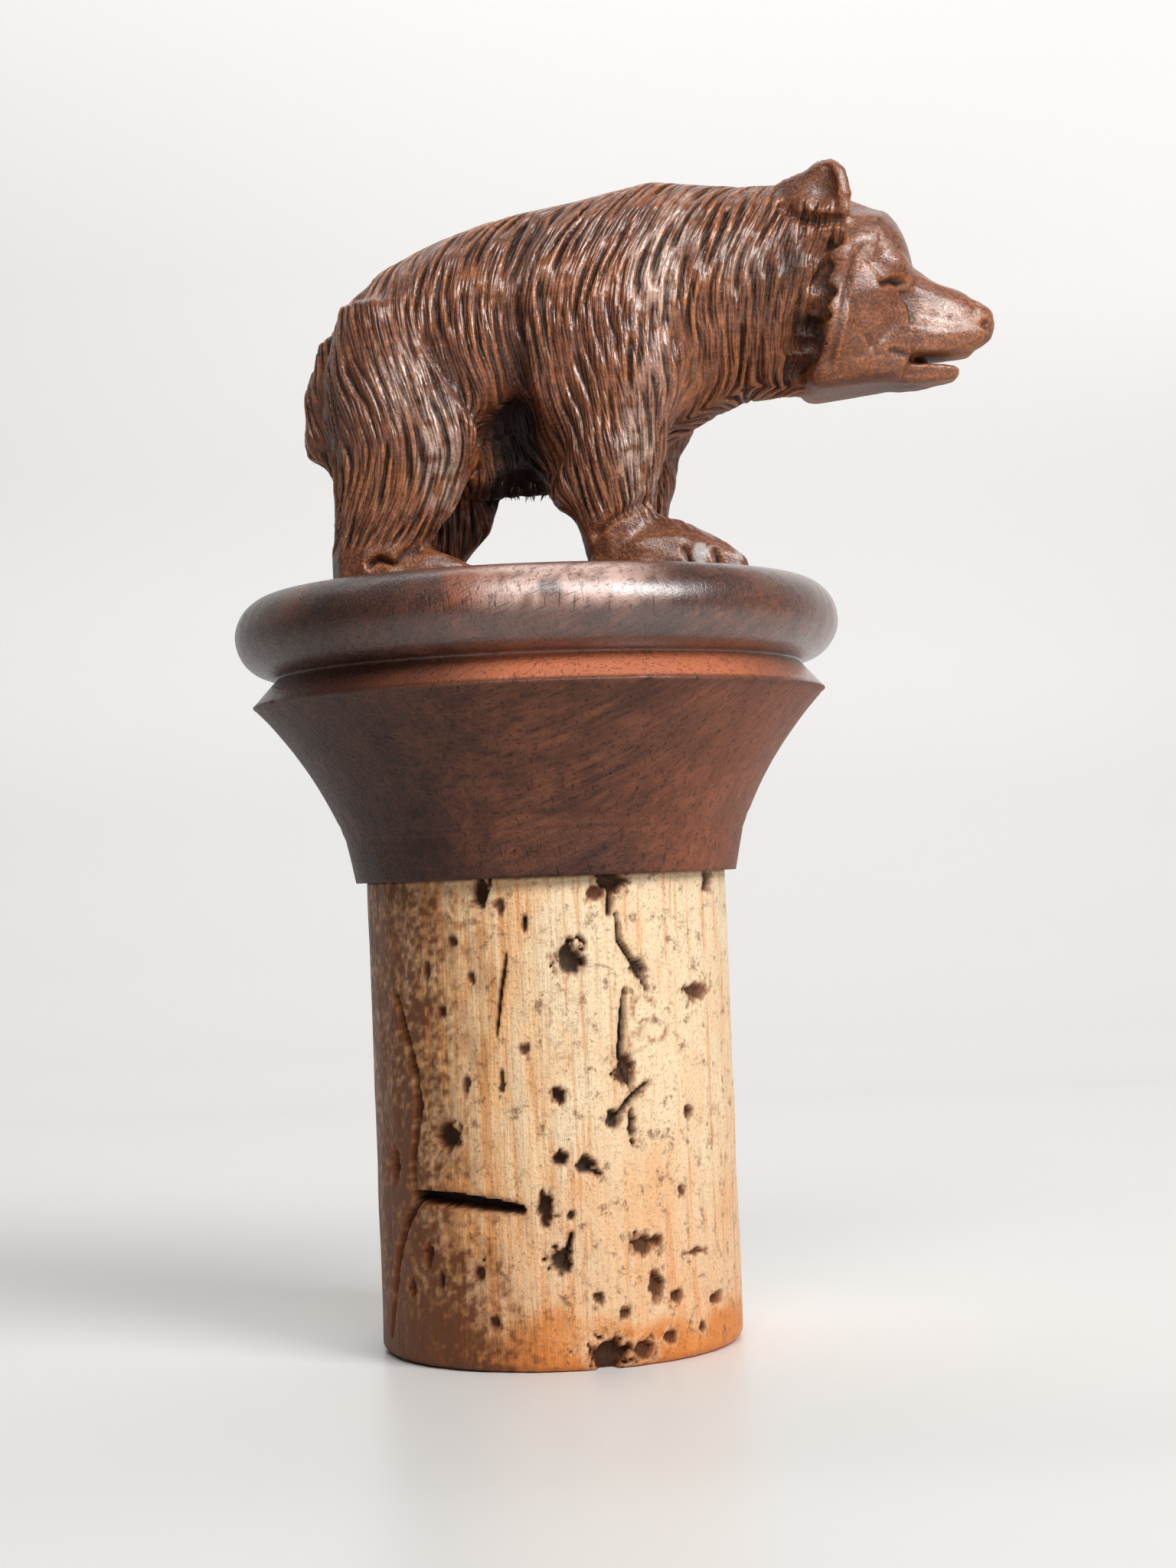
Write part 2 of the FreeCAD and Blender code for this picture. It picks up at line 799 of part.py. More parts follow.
PIECES = {"cork": cork, "turned_cap": cap, "carved_bear": bear}
for peg in pegs:
    PIECES[peg.Name] = peg


def check_document():
    """Stop if any object failed or a piece has no sound shape."""
    doc.recompute()
    for item in doc.Objects:
        if "Invalid" in item.State or "Error" in item.State:
            raise RuntimeError("%s failed: %s" % (item.Name, item.State))
    for name, piece in PIECES.items():
        if piece.Shape.isNull() or not piece.Shape.isValid():
            raise RuntimeError(name + " has no sound shape")


check_document()
os.makedirs("parts", exist_ok=True)
for name, piece in PIECES.items():
    piece.Label = name
    piece.Shape.exportStep(os.path.join("parts", name + ".step"))
    box = piece.Shape.BoundBox
    print(
        "%-12s solids %d volume %9.2f box %.2f %.2f %.2f to %.2f %.2f %.2f"
        % (
            name,
            len(piece.Shape.Solids),
            piece.Shape.Volume,
            box.XMin,
            box.YMin,
            box.ZMin,
            box.XMax,
            box.YMax,
            box.ZMax,
        )
    )
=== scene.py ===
"""Looks of the wooden bottle stopper: a carved bear on a turned cap above a cork."""

import logging
import math
from collections.abc import Callable
from dataclasses import asdict, dataclass
from enum import Enum
from typing import ClassVar

import bmesh
import bpy
import numpy as np
from mathutils import Euler, Matrix, Vector, noise


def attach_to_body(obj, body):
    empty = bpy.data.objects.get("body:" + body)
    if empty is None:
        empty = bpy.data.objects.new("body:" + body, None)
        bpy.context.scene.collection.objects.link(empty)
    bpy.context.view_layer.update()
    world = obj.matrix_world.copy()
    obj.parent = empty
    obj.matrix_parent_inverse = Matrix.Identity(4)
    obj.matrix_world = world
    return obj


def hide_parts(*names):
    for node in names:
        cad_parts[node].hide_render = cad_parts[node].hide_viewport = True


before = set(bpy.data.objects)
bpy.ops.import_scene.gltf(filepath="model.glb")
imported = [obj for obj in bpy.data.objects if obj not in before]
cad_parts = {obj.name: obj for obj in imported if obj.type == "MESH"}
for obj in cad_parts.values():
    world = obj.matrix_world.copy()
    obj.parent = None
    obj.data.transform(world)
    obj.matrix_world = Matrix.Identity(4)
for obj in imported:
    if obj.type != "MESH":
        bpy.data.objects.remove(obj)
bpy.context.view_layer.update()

MM = 0.001
CAP_TOP = 41.6
CORK_TOP = 25.7
ROOT = "root"
LOG = logging.getLogger("stopper")

Points = np.ndarray
Socket = bpy.types.NodeSocket
Value = float | Socket
Pair = tuple[float, float]
Triple = tuple[float, float, float]
Colour = tuple[float, float, float, float]
Route = tuple[Pair, ...]


class Side(Enum):
    """A side of the bear, as the sign of its place across."""

    NEAR = -1
    FAR = 1


# Small tools for meshes


def points_of(mesh: bpy.types.Mesh) -> Points:
    """Vertex places of a mesh as rows of three numbers.

    Args:
        mesh: the mesh.

    Returns:
        One row for each vertex.
    """
    places = np.empty(len(mesh.vertices) * 3)
    mesh.vertices.foreach_get("co", places)
    return places.reshape(-1, 3)


def put_points(mesh: bpy.types.Mesh, places: Points) -> None:
    """Write vertex places back into a mesh."""
    mesh.vertices.foreach_set("co", places.astype(np.float32).ravel())
    mesh.update()


def normals_of(mesh: bpy.types.Mesh) -> Points:
    """Vertex normals of a mesh.

    Args:
        mesh: the mesh.

    Returns:
        One row for each vertex.
    """
    normals = np.empty(len(mesh.vertices) * 3)
    mesh.vertex_normals.foreach_get("vector", normals)
    return normals.reshape(-1, 3)


def edges_of(mesh: bpy.types.Mesh) -> np.ndarray:
    """Vertex pairs of a mesh's edges.

    Args:
        mesh: the mesh.

    Returns:
        One row for each edge.
    """
    pairs = np.empty(len(mesh.edges) * 2, dtype=np.int32)
    mesh.edges.foreach_get("vertices", pairs)
    return pairs.reshape(-1, 2)


def diagonals_of(mesh: bpy.types.Mesh) -> np.ndarray:
    """Vertex pairs across the four-sided faces of a mesh that has no others.

    Args:
        mesh: the mesh.

    Returns:
        Two rows for each face.
    """
    corners = np.empty(len(mesh.loops), dtype=np.int32)
    mesh.loops.foreach_get("vertex_index", corners)
    corners = corners.reshape(-1, 4)
    return np.concatenate([corners[:, (0, 2)], corners[:, (1, 3)]])


def attach(mesh: bpy.types.Mesh, name: str, values: np.ndarray) -> None:
    """Store one number for each vertex under a name that a material reads."""
    layer = mesh.attributes.new(name, "FLOAT", "POINT")
    layer.data.foreach_set("value", values.astype(np.float32))


def smooth_step(low: float, high: float, values: np.ndarray) -> np.ndarray:
    """Soft ramp from 0 at low to 1 at high."""
    share = np.clip((values - low) / (high - low), 0.0, 1.0)
    return share * share * (3.0 - 2.0 * share)


def ripple(places: Points, scale: float, shift: float = 0.0) -> np.ndarray:
    """Smooth noise from about -1 to 1.

    Args:
        places: where it is wanted.
        scale: bumps in a unit of length.
        shift: moves the pattern, for a second one that differs.

    Returns:
        One value for each place.
    """
    moved = places * scale + shift
    return np.array([noise.noise(Vector(place)) for place in moved])


def neighbour_mean(places: Points, edges: np.ndarray) -> Points:
    """Mean place of each vertex's neighbours.

    Args:
        places: vertex places.
        edges: vertex pairs.

    Returns:
        One place for each vertex.
    """
    count = len(places)
    heads, tails = edges.T
    total = np.stack(
        [
            np.bincount(heads, places[tails, axis], count)
            + np.bincount(tails, places[heads, axis], count)
            for axis in range(3)
        ],
        axis=1,
    )
    return total / np.bincount(edges.ravel(), minlength=count)[:, None]


def relax(
    places: Points, edges: np.ndarray, rounds: int, step: float = 0.5, swell: float = 1.04
) -> Points:
    """Smooth a mesh.

    Args:
        places: vertex places.
        edges: vertex pairs.
        rounds: pairs of a smoothing and a swelling pass.
        step: how far a vertex goes towards its neighbours.
        swell: how much of that the second pass gives back.

    Returns:
        The new places.
    """
    for pull in (step, -step * swell) * rounds:
        if pull:
            places = places + pull * (neighbour_mean(places, edges) - places)
    return places


def level_out(
    edges: np.ndarray, rise: np.ndarray, count: int, rounds: int, weight: np.ndarray
) -> np.ndarray:
    """Find heights whose steps along the edges come closest to the wished ones.

    Args:
        edges: vertex pairs.
        rise: wished step from the first to the second vertex of each pair.
        count: number of vertices.
        rounds: rounds of conjugate gradients.
        weight: how much each pair counts.

    Returns:
        One height for each vertex.
    """
    heads, tails = edges.T
    degree = np.bincount(heads, weight, count) + np.bincount(tails, weight, count)

    def pull(heights: np.ndarray) -> np.ndarray:
        """Degree times the height less the neighbours' heights.

        Args:
            heights: one height for each vertex.

        Returns:
            One value for each vertex.
        """
        near = np.bincount(heads, heights[tails] * weight, count)
        near += np.bincount(tails, heights[heads] * weight, count)
        return degree * heights - near

    wish = np.bincount(tails, rise * weight, count) - np.bincount(heads, rise * weight, count)
    heights = np.zeros(count)
    left = wish - pull(heights)
    way = left.copy()
    size = left @ left
    for _ in range(rounds):
        pulled = pull(way)
        reach = size / max(way @ pulled, 1e-12)
        heights += reach * way
        left -= reach * pulled
        new_size = left @ left
        way = left + way * (new_size / max(size, 1e-12))
        size = new_size
    return heights


def mesh_from(bm: bmesh.types.BMesh, name: str) -> bpy.types.Mesh:
    """Mesh of a bmesh, which is freed.

    Args:
        bm: the bmesh.
        name: name of the mesh.

    Returns:
        The new mesh.
    """
    mesh = bpy.data.meshes.new(name)
    bm.to_mesh(mesh)
    bm.free()
    return mesh


def linked(name: str, data: bpy.types.ID) -> bpy.types.Object:
    """New object of a mesh, a lamp or a camera, linked to the scene.

    Args:
        name: its name.
        data: its data.

    Returns:
        The object.
    """
    made = bpy.data.objects.new(name, data)
    bpy.context.scene.collection.objects.link(made)
    return made


def piece_of(name: str, mesh: bpy.types.Mesh, node: str) -> bpy.types.Object:
    """Link a finished mesh as a piece that stands for a solid.

    Args:
        name: name of the piece.
        mesh: its mesh, in metres.
        node: solid that the piece replaces.

    Returns:
        The object.
    """
    mesh.name = name
    mesh.shade_smooth()
    piece = linked(name, mesh)
    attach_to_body(piece, ROOT)
    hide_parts(node)
    return piece


def turned(profile: list[Pair], steps: int) -> bpy.types.Mesh:
    """Turn a profile about the upright axis into a closed mesh.

    Args:
        profile: radius and height of each point, from the bottom of the axis
            up to its top.
        steps: number of steps round.

    Returns:
        Mesh in millimetres.
    """
    bm = bmesh.new()
    points = [bm.verts.new((radius, 0.0, height)) for radius, height in profile]
    lines = [bm.edges.new(pair) for pair in zip(points[:-1], points[1:])]
    bmesh.ops.spin(
        bm,
        geom=points + lines,
        cent=(0.0, 0.0, 0.0),
        axis=(0.0, 0.0, 1.0),
        angle=math.tau,
        steps=steps,
        use_merge=True,
        use_duplicate=False,
    )
    bmesh.ops.remove_doubles(bm, verts=bm.verts, dist=1e-5)
    bmesh.ops.recalc_face_normals(bm, faces=bm.faces)
    return mesh_from(bm, "turned")


def stretch(start: Pair, end: Pair, step: float) -> list[Pair]:
    """Points of a straight run of a profile, without its last one.

    Args:
        start: radius and height where it starts.
        end: where it ends.
        step: wished distance between points.

    Returns:
        Radius and height of each point.
    """
    length = math.dist(start, end)
    count = max(1, round(length / step))
    shares = [index / count for index in range(count)]
    return [
        (start[0] + (end[0] - start[0]) * share, start[1] + (end[1] - start[1]) * share)
        for share in shares
    ]


def bow(centre: Pair, radius: float, start: float, end: float, step: float) -> list[Pair]:
    """Points of an arc of a profile between two angles in radians, without its last one.

    Args:
        centre: radius and height of its centre.
        radius: its own radius.
        start: first angle.
        end: last angle.
        step: wished distance between points.

    Returns:
        Radius and height of each point.
    """
    count = max(2, round(abs(end - start) * radius / step))
    angles = [start + (end - start) * index / count for index in range(count)]
    return [
        (centre[0] + radius * math.cos(angle), centre[1] + radius * math.sin(angle))
        for angle in angles
    ]


# Gouge strokes, once for the mesh and once as a node group of the same pattern


@dataclass(frozen=True)
class Gouge:
    """Rows of knife strokes on a field of two lengths, across and along them.

    Lengths are in millimetres. The node group reads the numbers in capitals
    too, so that its strokes lie where the mesh has them. They say how the lanes
    sway, which keys give the chance numbers, how far strokes are staggered and
    set off within a lane, and the least and the further half width and depth.
    """

    SWAY_ALONG: ClassVar[float] = 0.9
    SWAY_ACROSS: ClassVar[float] = 1.7
    LANE_KEY: ClassVar[float] = 12.9898
    COLUMN_KEY: ClassVar[float] = 7.233
    ROW_KEY: ClassVar[float] = 3.719
    SPREAD: ClassVar[float] = 437.585
    STAGGER: ClassVar[float] = 7.0
    OFFSET: ClassVar[float] = 0.3
    WIDTHS: ClassVar[Pair] = (0.6, 0.8)
    DEPTHS: ClassVar[Pair] = (0.5, 0.5)
    ENTRY: ClassVar[float] = 5.0
    EXIT: ClassVar[float] = 3.0

    pitch: float
    length: float
    width: float
    skew: float
    wander: float
    seed: float

    def depth(self, across: np.ndarray, along: np.ndarray) -> np.ndarray:
        """Depth of the strokes from 0 to 1.

        Args:
            across: length across the strokes.
            along: length along them.

        Returns:
            One depth for each pair of lengths.
        """
        sway = np.sin(self.SWAY_ALONG * along + self.SWAY_ACROSS * across + self.seed)
        lane = across / self.pitch + self.wander * sway
        column = np.floor(lane)
        start = self.chance(column * self.LANE_KEY + self.seed)
        track = along / self.length + start * self.STAGGER
        row = np.floor(track)
        luck = self.chance(column * self.COLUMN_KEY + row * self.ROW_KEY + self.seed)
        local = lane - column - 0.5 - self.OFFSET * (luck - 0.5)
        half = self.width / self.pitch * (self.WIDTHS[0] + self.WIDTHS[1] * luck)
        wall = np.where(local < 0.0, -local / (half * self.skew), local / half)
        share = track - row
        entry = np.clip(share * self.ENTRY, 0.0, 1.0)
        taper = entry * np.clip((1.0 - share) * self.EXIT, 0.0, 1.0)
        return np.clip(1.0 - wall, 0.0, 1.0) * taper * (self.DEPTHS[0] + self.DEPTHS[1] * luck)

    @classmethod
    def chance(cls, key: np.ndarray) -> np.ndarray:
        """Number from 0 to 1 that looks like chance, the same one for the same key."""
        value = np.sin(key) * cls.SPREAD
        return value - np.floor(value)


# Small tools for materials


class Bench:
    """Adds the nodes of one node tree and joins them."""

    def __init__(self, tree: bpy.types.NodeTree) -> None:
        """Take the tree to work on."""
        self.tree = tree

    def node(self, kind: str, **settings: object) -> bpy.types.Node:
        """Add a node and set its properties.

        Args:
            kind: type of the node.
            settings: properties and their values.

        Returns:
            The node.
        """
        made = self.tree.nodes.new(kind)
        for name, value in settings.items():
            setattr(made, name, value)
        return made

    def feed(self, socket: Socket, value: object) -> None:
        """Join a socket to another, or set its value.

        Args:
            socket: input to feed.
            value: output to join, or a value.
        """
        if isinstance(value, bpy.types.NodeSocket):
            self.tree.links.new(value, socket)
        else:
            socket.default_value = value

    def math(self, operation: str, *values: Value, clamp: bool = False) -> Socket:
        """Result of a Math node.

        Args:
            operation: name of the operation.
            values: its operands.
            clamp: whether the result is kept from 0 to 1.

        Returns:
            Its output.
        """
        made = self.node("ShaderNodeMath", operation=operation, use_clamp=clamp)
        for socket, value in zip(made.inputs, values):
            self.feed(socket, value)
        return made.outputs[0]

    def ramp(self, value: Value, low: float, high: float) -> Socket:
        """Soft ramp of a value from 0 at low to 1 at high.

        Args:
            value: value to map.
            low: value that gives 0.
            high: value that gives 1.

        Returns:
            The output, from 0 to 1.
        """
        made = self.node("ShaderNodeMapRange", interpolation_type="SMOOTHSTEP")
        for socket, number in zip(made.inputs, (value, low, high)):
            self.feed(socket, number)
        return made.outputs[0]

    def mix(self, share: Value, first: Socket | Colour, second: Socket | Colour) -> Socket:
        """Mix of two colours.

        Args:
            share: share of the second colour.
            first: first colour.
            second: second colour.

        Returns:
            The mixed colour.
        """
        made = self.node("ShaderNodeMix", data_type="RGBA")
        self.feed(made.inputs[0], share)
        self.feed(made.inputs[6], first)
        self.feed(made.inputs[7], second)
        return made.outputs[2]

    def stretched(self, vector: Socket, scale: Triple, turn: Triple = (0.0, 0.0, 0.0)) -> Socket:
        """Vector turned by degrees and scaled.

        Args:
            vector: vector to change.
            scale: factor along each axis.
            turn: turn about each axis.

        Returns:
            The new vector.
        """
        made = self.node("ShaderNodeMapping")
        self.feed(made.inputs["Vector"], vector)
        self.feed(made.inputs["Rotation"], tuple(math.radians(angle) for angle in turn))
        self.feed(made.inputs["Scale"], scale)
        return made.outputs[0]

    def noise(
        self, vector: Socket, scale: float, detail: float, rough: float = 0.5, twist: float = 0.0
    ) -> Socket:
        """Noise from 0 to 1.

        Args:
            vector: where it is wanted.
            scale: bumps in a unit of the vector.
            detail: number of finer layers.
            rough: strength of the finer layers.
            twist: how far the pattern is distorted.

        Returns:
            The output.
        """
        made = self.node("ShaderNodeTexNoise")
        self.feed(made.inputs["Vector"], vector)
        self.feed(made.inputs["Scale"], scale)
        self.feed(made.inputs["Detail"], detail)
        self.feed(made.inputs["Roughness"], rough)
        self.feed(made.inputs["Distortion"], twist)
        return made.outputs[0]

    def attribute(self, name: str) -> Socket:
        """Number stored at the vertices."""
        return self.node("ShaderNodeAttribute", attribute_name=name).outputs["Fac"]

    def place(self) -> Socket:
        """Place on the object, in millimetres."""
        made = self.node("ShaderNodeTexCoord")
        return self.stretched(made.outputs["Object"], (1.0 / MM,) * 3)


@dataclass(frozen=True)
class Group:
    """Node group with named inputs and outputs."""

    name: str
    inputs: dict[str, float]
    outputs: tuple[str, ...]
    fill: Callable[[Bench, dict[str, Socket], dict[str, Socket]], None]

    def build(self) -> bpy.types.NodeTree:
        """Make the group once, and give it back each further time.

        Returns:
            The group's node tree.
        """
        known = bpy.data.node_groups.get(self.name)
        if known:
            return known
        tree = bpy.data.node_groups.new(self.name, "ShaderNodeTree")
        tree.interface.new_socket("Vector", in_out="INPUT", socket_type="NodeSocketVector")
        for name, value in self.inputs.items():
            tree.interface.new_socket(
                name, in_out="INPUT", socket_type="NodeSocketFloat"
            ).default_value = value
        for name in self.outputs:
            tree.interface.new_socket(name, in_out="OUTPUT", socket_type="NodeSocketFloat")
        bench = Bench(tree)
        enter = bench.node("NodeGroupInput")
        leave = bench.node("NodeGroupOutput")
        inputs = {socket.name: socket for socket in enter.outputs if socket.name}
        outputs = {socket.name: socket for socket in leave.inputs if socket.name}
        self.fill(bench, inputs, outputs)
        return tree

    def use(self, bench: Bench, vector: Socket, **values: Value) -> dict[str, Socket]:
        """Place the group in a tree.

        Args:
            bench: bench of the tree.
            vector: where the effect is wanted.
            values: inputs that differ, named in lower case.

        Returns:
            Its outputs by name.
        """
        made = bench.node("ShaderNodeGroup", node_tree=self.build())
        bench.feed(made.inputs["Vector"], vector)
        for name in self.inputs:
            if name.lower() in values:
                bench.feed(made.inputs[name], values[name.lower()])
        return {socket.name: socket for socket in made.outputs}


def fill_strokes(bench: Bench, inputs: dict[str, Socket], outputs: dict[str, Socket]) -> None:
    """Fill the group that repeats the pattern of Gouge.depth.

    Args:
        bench: bench of the group's tree.
        inputs: inputs by name.
        outputs: outputs by name.
    """
    split = bench.node("ShaderNodeSeparateXYZ")
    bench.feed(split.inputs[0], inputs["Vector"])
    across, along = split.outputs[0], split.outputs[1]
    seed = inputs["Seed"]

    def chance(key: Socket) -> Socket:
        """Number from 0 to 1 that looks like chance."""
        return bench.math("FRACT", bench.math("MULTIPLY", bench.math("SINE", key), Gouge.SPREAD))

    sway = bench.math("MULTIPLY_ADD", across, Gouge.SWAY_ACROSS, seed)
    sway = bench.math("SINE", bench.math("MULTIPLY_ADD", along, Gouge.SWAY_ALONG, sway))
    lane = bench.math("DIVIDE", across, inputs["Pitch"])
    lane = bench.math("MULTIPLY_ADD", sway, inputs["Wander"], lane)
    column = bench.math("FLOOR", lane)
    start = chance(bench.math("MULTIPLY_ADD", column, Gouge.LANE_KEY, seed))
    track = bench.math("DIVIDE", along, inputs["Length"])
    track = bench.math("MULTIPLY_ADD", start, Gouge.STAGGER, track)
    row = bench.math("FLOOR", track)
    key = bench.math("MULTIPLY_ADD", row, Gouge.ROW_KEY, seed)
    luck = chance(bench.math("MULTIPLY_ADD", column, Gouge.COLUMN_KEY, key))
    local = bench.math("SUBTRACT", lane, column)
    local = bench.math("SUBTRACT", local, 0.5 - 0.5 * Gouge.OFFSET)
    local = bench.math("MULTIPLY_ADD", luck, -Gouge.OFFSET, local)
    least, further = Gouge.WIDTHS
    half = bench.math("DIVIDE", inputs["Width"], inputs["Pitch"])
    half = bench.math("MULTIPLY", half, bench.math("MULTIPLY_ADD", luck, further, least))
    gentle = bench.math("DIVIDE", local, half)
    steep = bench.math("DIVIDE", gentle, bench.math("MULTIPLY", inputs["Skew"], -1.0))
    wall = bench.math("MAXIMUM", gentle, steep)
    share = bench.math("SUBTRACT", track, row)
    entry = bench.math("MULTIPLY", share, Gouge.ENTRY, clamp=True)
    leave = bench.math("MULTIPLY_ADD", share, -Gouge.EXIT, Gouge.EXIT, clamp=True)
    least, further = Gouge.DEPTHS
    deep = bench.math("MULTIPLY_ADD", luck, further, least)
    deep = bench.math("MULTIPLY", bench.math("MULTIPLY", entry, leave), deep)
    inside = bench.math("SUBTRACT", 1.0, wall, clamp=True)
    bench.feed(outputs["Depth"], bench.math("MULTIPLY", inside, deep))


STROKES = Group(
    "Gouge strokes",
    {"Pitch": 0.5, "Length": 3.0, "Width": 0.3, "Skew": 0.35, "Wander": 0.22, "Seed": 0.0},
    ("Depth",),
    fill_strokes,
)


def strokes(bench: Bench, strand: Socket, gouge: Gouge) -> Socket:
    """Depth of a gouge's strokes from the node group, as Gouge.depth gives it."""
    return STROKES.use(bench, strand, **asdict(gouge))["Depth"]


def fill_figure(bench: Bench, inputs: dict[str, Socket], outputs: dict[str, Socket]) -> None:
    """Fill the group of a fine wood's figure, with its grain along the vector's X.

    Args:
        bench: bench of the group's tree.
        inputs: inputs by name.
        outputs: outputs by name.
    """
    vector = inputs["Vector"]
    broad = bench.noise(bench.stretched(vector, (0.06, 0.22, 0.22)), 1.0, 3.0, 0.6, 0.6)
    streaks = bench.noise(bench.stretched(vector, (0.25, 2.6, 2.6)), 1.0, 3.0, 0.6)
    blotch = bench.noise(vector, 0.55, 4.0, 0.6)
    pores = bench.noise(bench.stretched(vector, (0.9, 7.0, 7.0)), 1.0, 1.0, 0.5)
    fleck = bench.noise(vector, 6.0, 3.0, 0.7)
    tone = bench.math("MULTIPLY_ADD", broad, 0.5, bench.math("MULTIPLY", streaks, 0.5))
    bench.feed(outputs["Tone"], bench.ramp(tone, 0.3, 0.7))
    bench.feed(outputs["Blotch"], bench.ramp(blotch, 0.35, 0.68))
    pores = bench.ramp(pores, 0.6, 0.72)
    bench.feed(outputs["Pores"], bench.math("MULTIPLY", pores, inputs["Open"]))
    bench.feed(outputs["Fleck"], bench.ramp(fleck, 0.35, 0.7))


FIGURE = Group(
    "Wood figure",
    {"Open": 1.0},
    ("Tone", "Blotch", "Pores", "Fleck"),
    fill_figure,
)


@dataclass(frozen=True)
class Finish:
    """Base of every finish: a material with one Principled shader."""

    name: str

    def material(self) -> bpy.types.Material:
        """Make the material and let the finish fill it.

        Returns:
            The material.
        """
        made = bpy.data.materials.new(self.name)
        made.use_nodes = True
        bench = Bench(made.node_tree)
        shader = made.node_tree.nodes["Principled BSDF"]
        self.dress(bench, shader)
        return made

    def dress(self, bench: Bench, shader: bpy.types.Node) -> None:
        """Feed the shader. Each finish has its own way."""
        raise NotImplementedError

    def bump(
        self,
        bench: Bench,
        height: Socket,
        distance: float,
        strength: float = 1.0,
        under: Socket | None = None,
    ) -> Socket:
        """Normal of a Bump node.

        Args:
            bench: bench of the material.
            height: height of the surface, in shares of the distance.
            distance: distance in millimetres.
            strength: strength of the node.
            under: normal that the bump lies on.

        Returns:
            The node's normal.
        """
        made = bench.node("ShaderNodeBump")
        made.inputs["Strength"].default_value = strength
        made.inputs["Distance"].default_value = distance * MM
        bench.feed(made.inputs["Height"], height)
        if under is not None:
            bench.feed(made.inputs["Normal"], under)
        return made.outputs[0]


@dataclass(frozen=True)
class CarvedWalnut(Finish):
    """Stained and waxed walnut with dark knife strokes, paler ridges from wear and painted
    highlight, patches of painted highlight and painted shade in the hollows.
    """

    name: str = "carved walnut"
    dark: Colour = (0.014, 0.005, 0.003, 1.0)
    mid: Colour = (0.19, 0.046, 0.015, 1.0)
    pale: Colour = (0.86, 0.29, 0.09, 1.0)
    highlight_tint: Colour = (0.97, 0.63, 0.48, 1.0)
    claw: Colour = (0.62, 0.56, 0.52, 1.0)
    wax_rough: float = 0.18
    wax_index: float = 1.75

    def dress(self, bench: Bench, shader: bpy.types.Node) -> None:
        """Feed colour, gloss and relief.

        Args:
            bench: bench of the material.
            shader: its shader.
        """
        wood = FIGURE.use(bench, bench.place(), open=0.6)
        strand = bench.node("ShaderNodeUVMap", uv_map="strand").outputs[0]
        coat = bench.attribute("coat")
        grooves, hairs, wisps = (
            bench.math("MULTIPLY", strokes(bench, strand, gouge), coat)
            for gouge in (MID_STROKES, FINE_STROKES, FINEST_STROKES)
        )
        base = bench.mix(bench.math("MULTIPLY", wood["Tone"], 0.6), self.mid, self.pale)
        base = bench.mix(bench.math("MULTIPLY", wood["Blotch"], 0.45), base, self.mid)
        # Paler ridges: wear and painted highlight
        base = bench.mix(bench.math("MULTIPLY", bench.attribute("ridge"), 0.6), base, self.pale)
        # Painted highlight in patches, as pale pink wood
        base = bench.mix(bench.attribute("painted_highlight"), base, self.highlight_tint)
        # Darker in the grooves: stain in the knife strokes and painted shade; the hollow attribute
        # adds painted shade
        darkening = bench.math("MULTIPLY", bench.ramp(grooves, 0.15, 0.7), 0.88)
        shade = bench.math("MAXIMUM", darkening, bench.attribute("hollow"))
        shade = bench.math("MAXIMUM", shade, bench.math("MULTIPLY", hairs, 0.85))
        shade = bench.math("MAXIMUM", shade, bench.math("MULTIPLY", wisps, 0.4))
        base = bench.mix(shade, base, self.dark)
        specks = bench.math("MULTIPLY_ADD", wood["Fleck"], -1.0, 1.0)
        specks = bench.math("MULTIPLY", specks, bench.math("MULTIPLY_ADD", coat, -0.3, 0.65))
        specks = bench.math("MAXIMUM", specks, bench.math("MULTIPLY", wood["Pores"], 0.5))
        base = bench.mix(specks, base, self.dark)
        # Pale claws: wear and painted highlight
        base = bench.mix(bench.math("MULTIPLY", bench.attribute("claw"), 0.85), base, self.claw)
        bench.feed(shader.inputs["Base Color"], base)
        polish = bench.math("MULTIPLY_ADD", shade, -0.9, 0.9, clamp=True)
        polish = bench.math("MULTIPLY", polish, bench.attribute("waxed"))
        patches = bench.math("MULTIPLY_ADD", wood["Fleck"], 0.5, 0.6, clamp=True)
        bench.feed(shader.inputs["Coat Weight"], bench.math("MULTIPLY", polish, patches))
        shader.inputs["Coat Roughness"].default_value = self.wax_rough
        shader.inputs["Coat IOR"].default_value = self.wax_index
        rough = bench.math("MULTIPLY_ADD", wood["Fleck"], 0.25, 0.4)
        bench.feed(shader.inputs["Roughness"], rough)
        depth = bench.math("MULTIPLY_ADD", grooves, -1.0, bench.math("MULTIPLY", hairs, -0.5))
        depth = bench.math("MULTIPLY_ADD", wisps, -0.25, depth)
        normal = self.bump(bench, depth, 0.22, 1.0)
        grain = bench.math("MULTIPLY_ADD", wood["Pores"], -0.6, wood["Fleck"])
        bench.feed(shader.inputs["Normal"], self.bump(bench, grain, 0.025, 1.0, normal))
        skin = bench.math("MULTIPLY", wood["Fleck"], bench.math("SUBTRACT", 1.3, coat))
        depth = bench.math("MULTIPLY_ADD", skin, 0.08, depth)
        bench.feed(shader.inputs["Coat Normal"], self.bump(bench, depth, 0.12, 0.8))


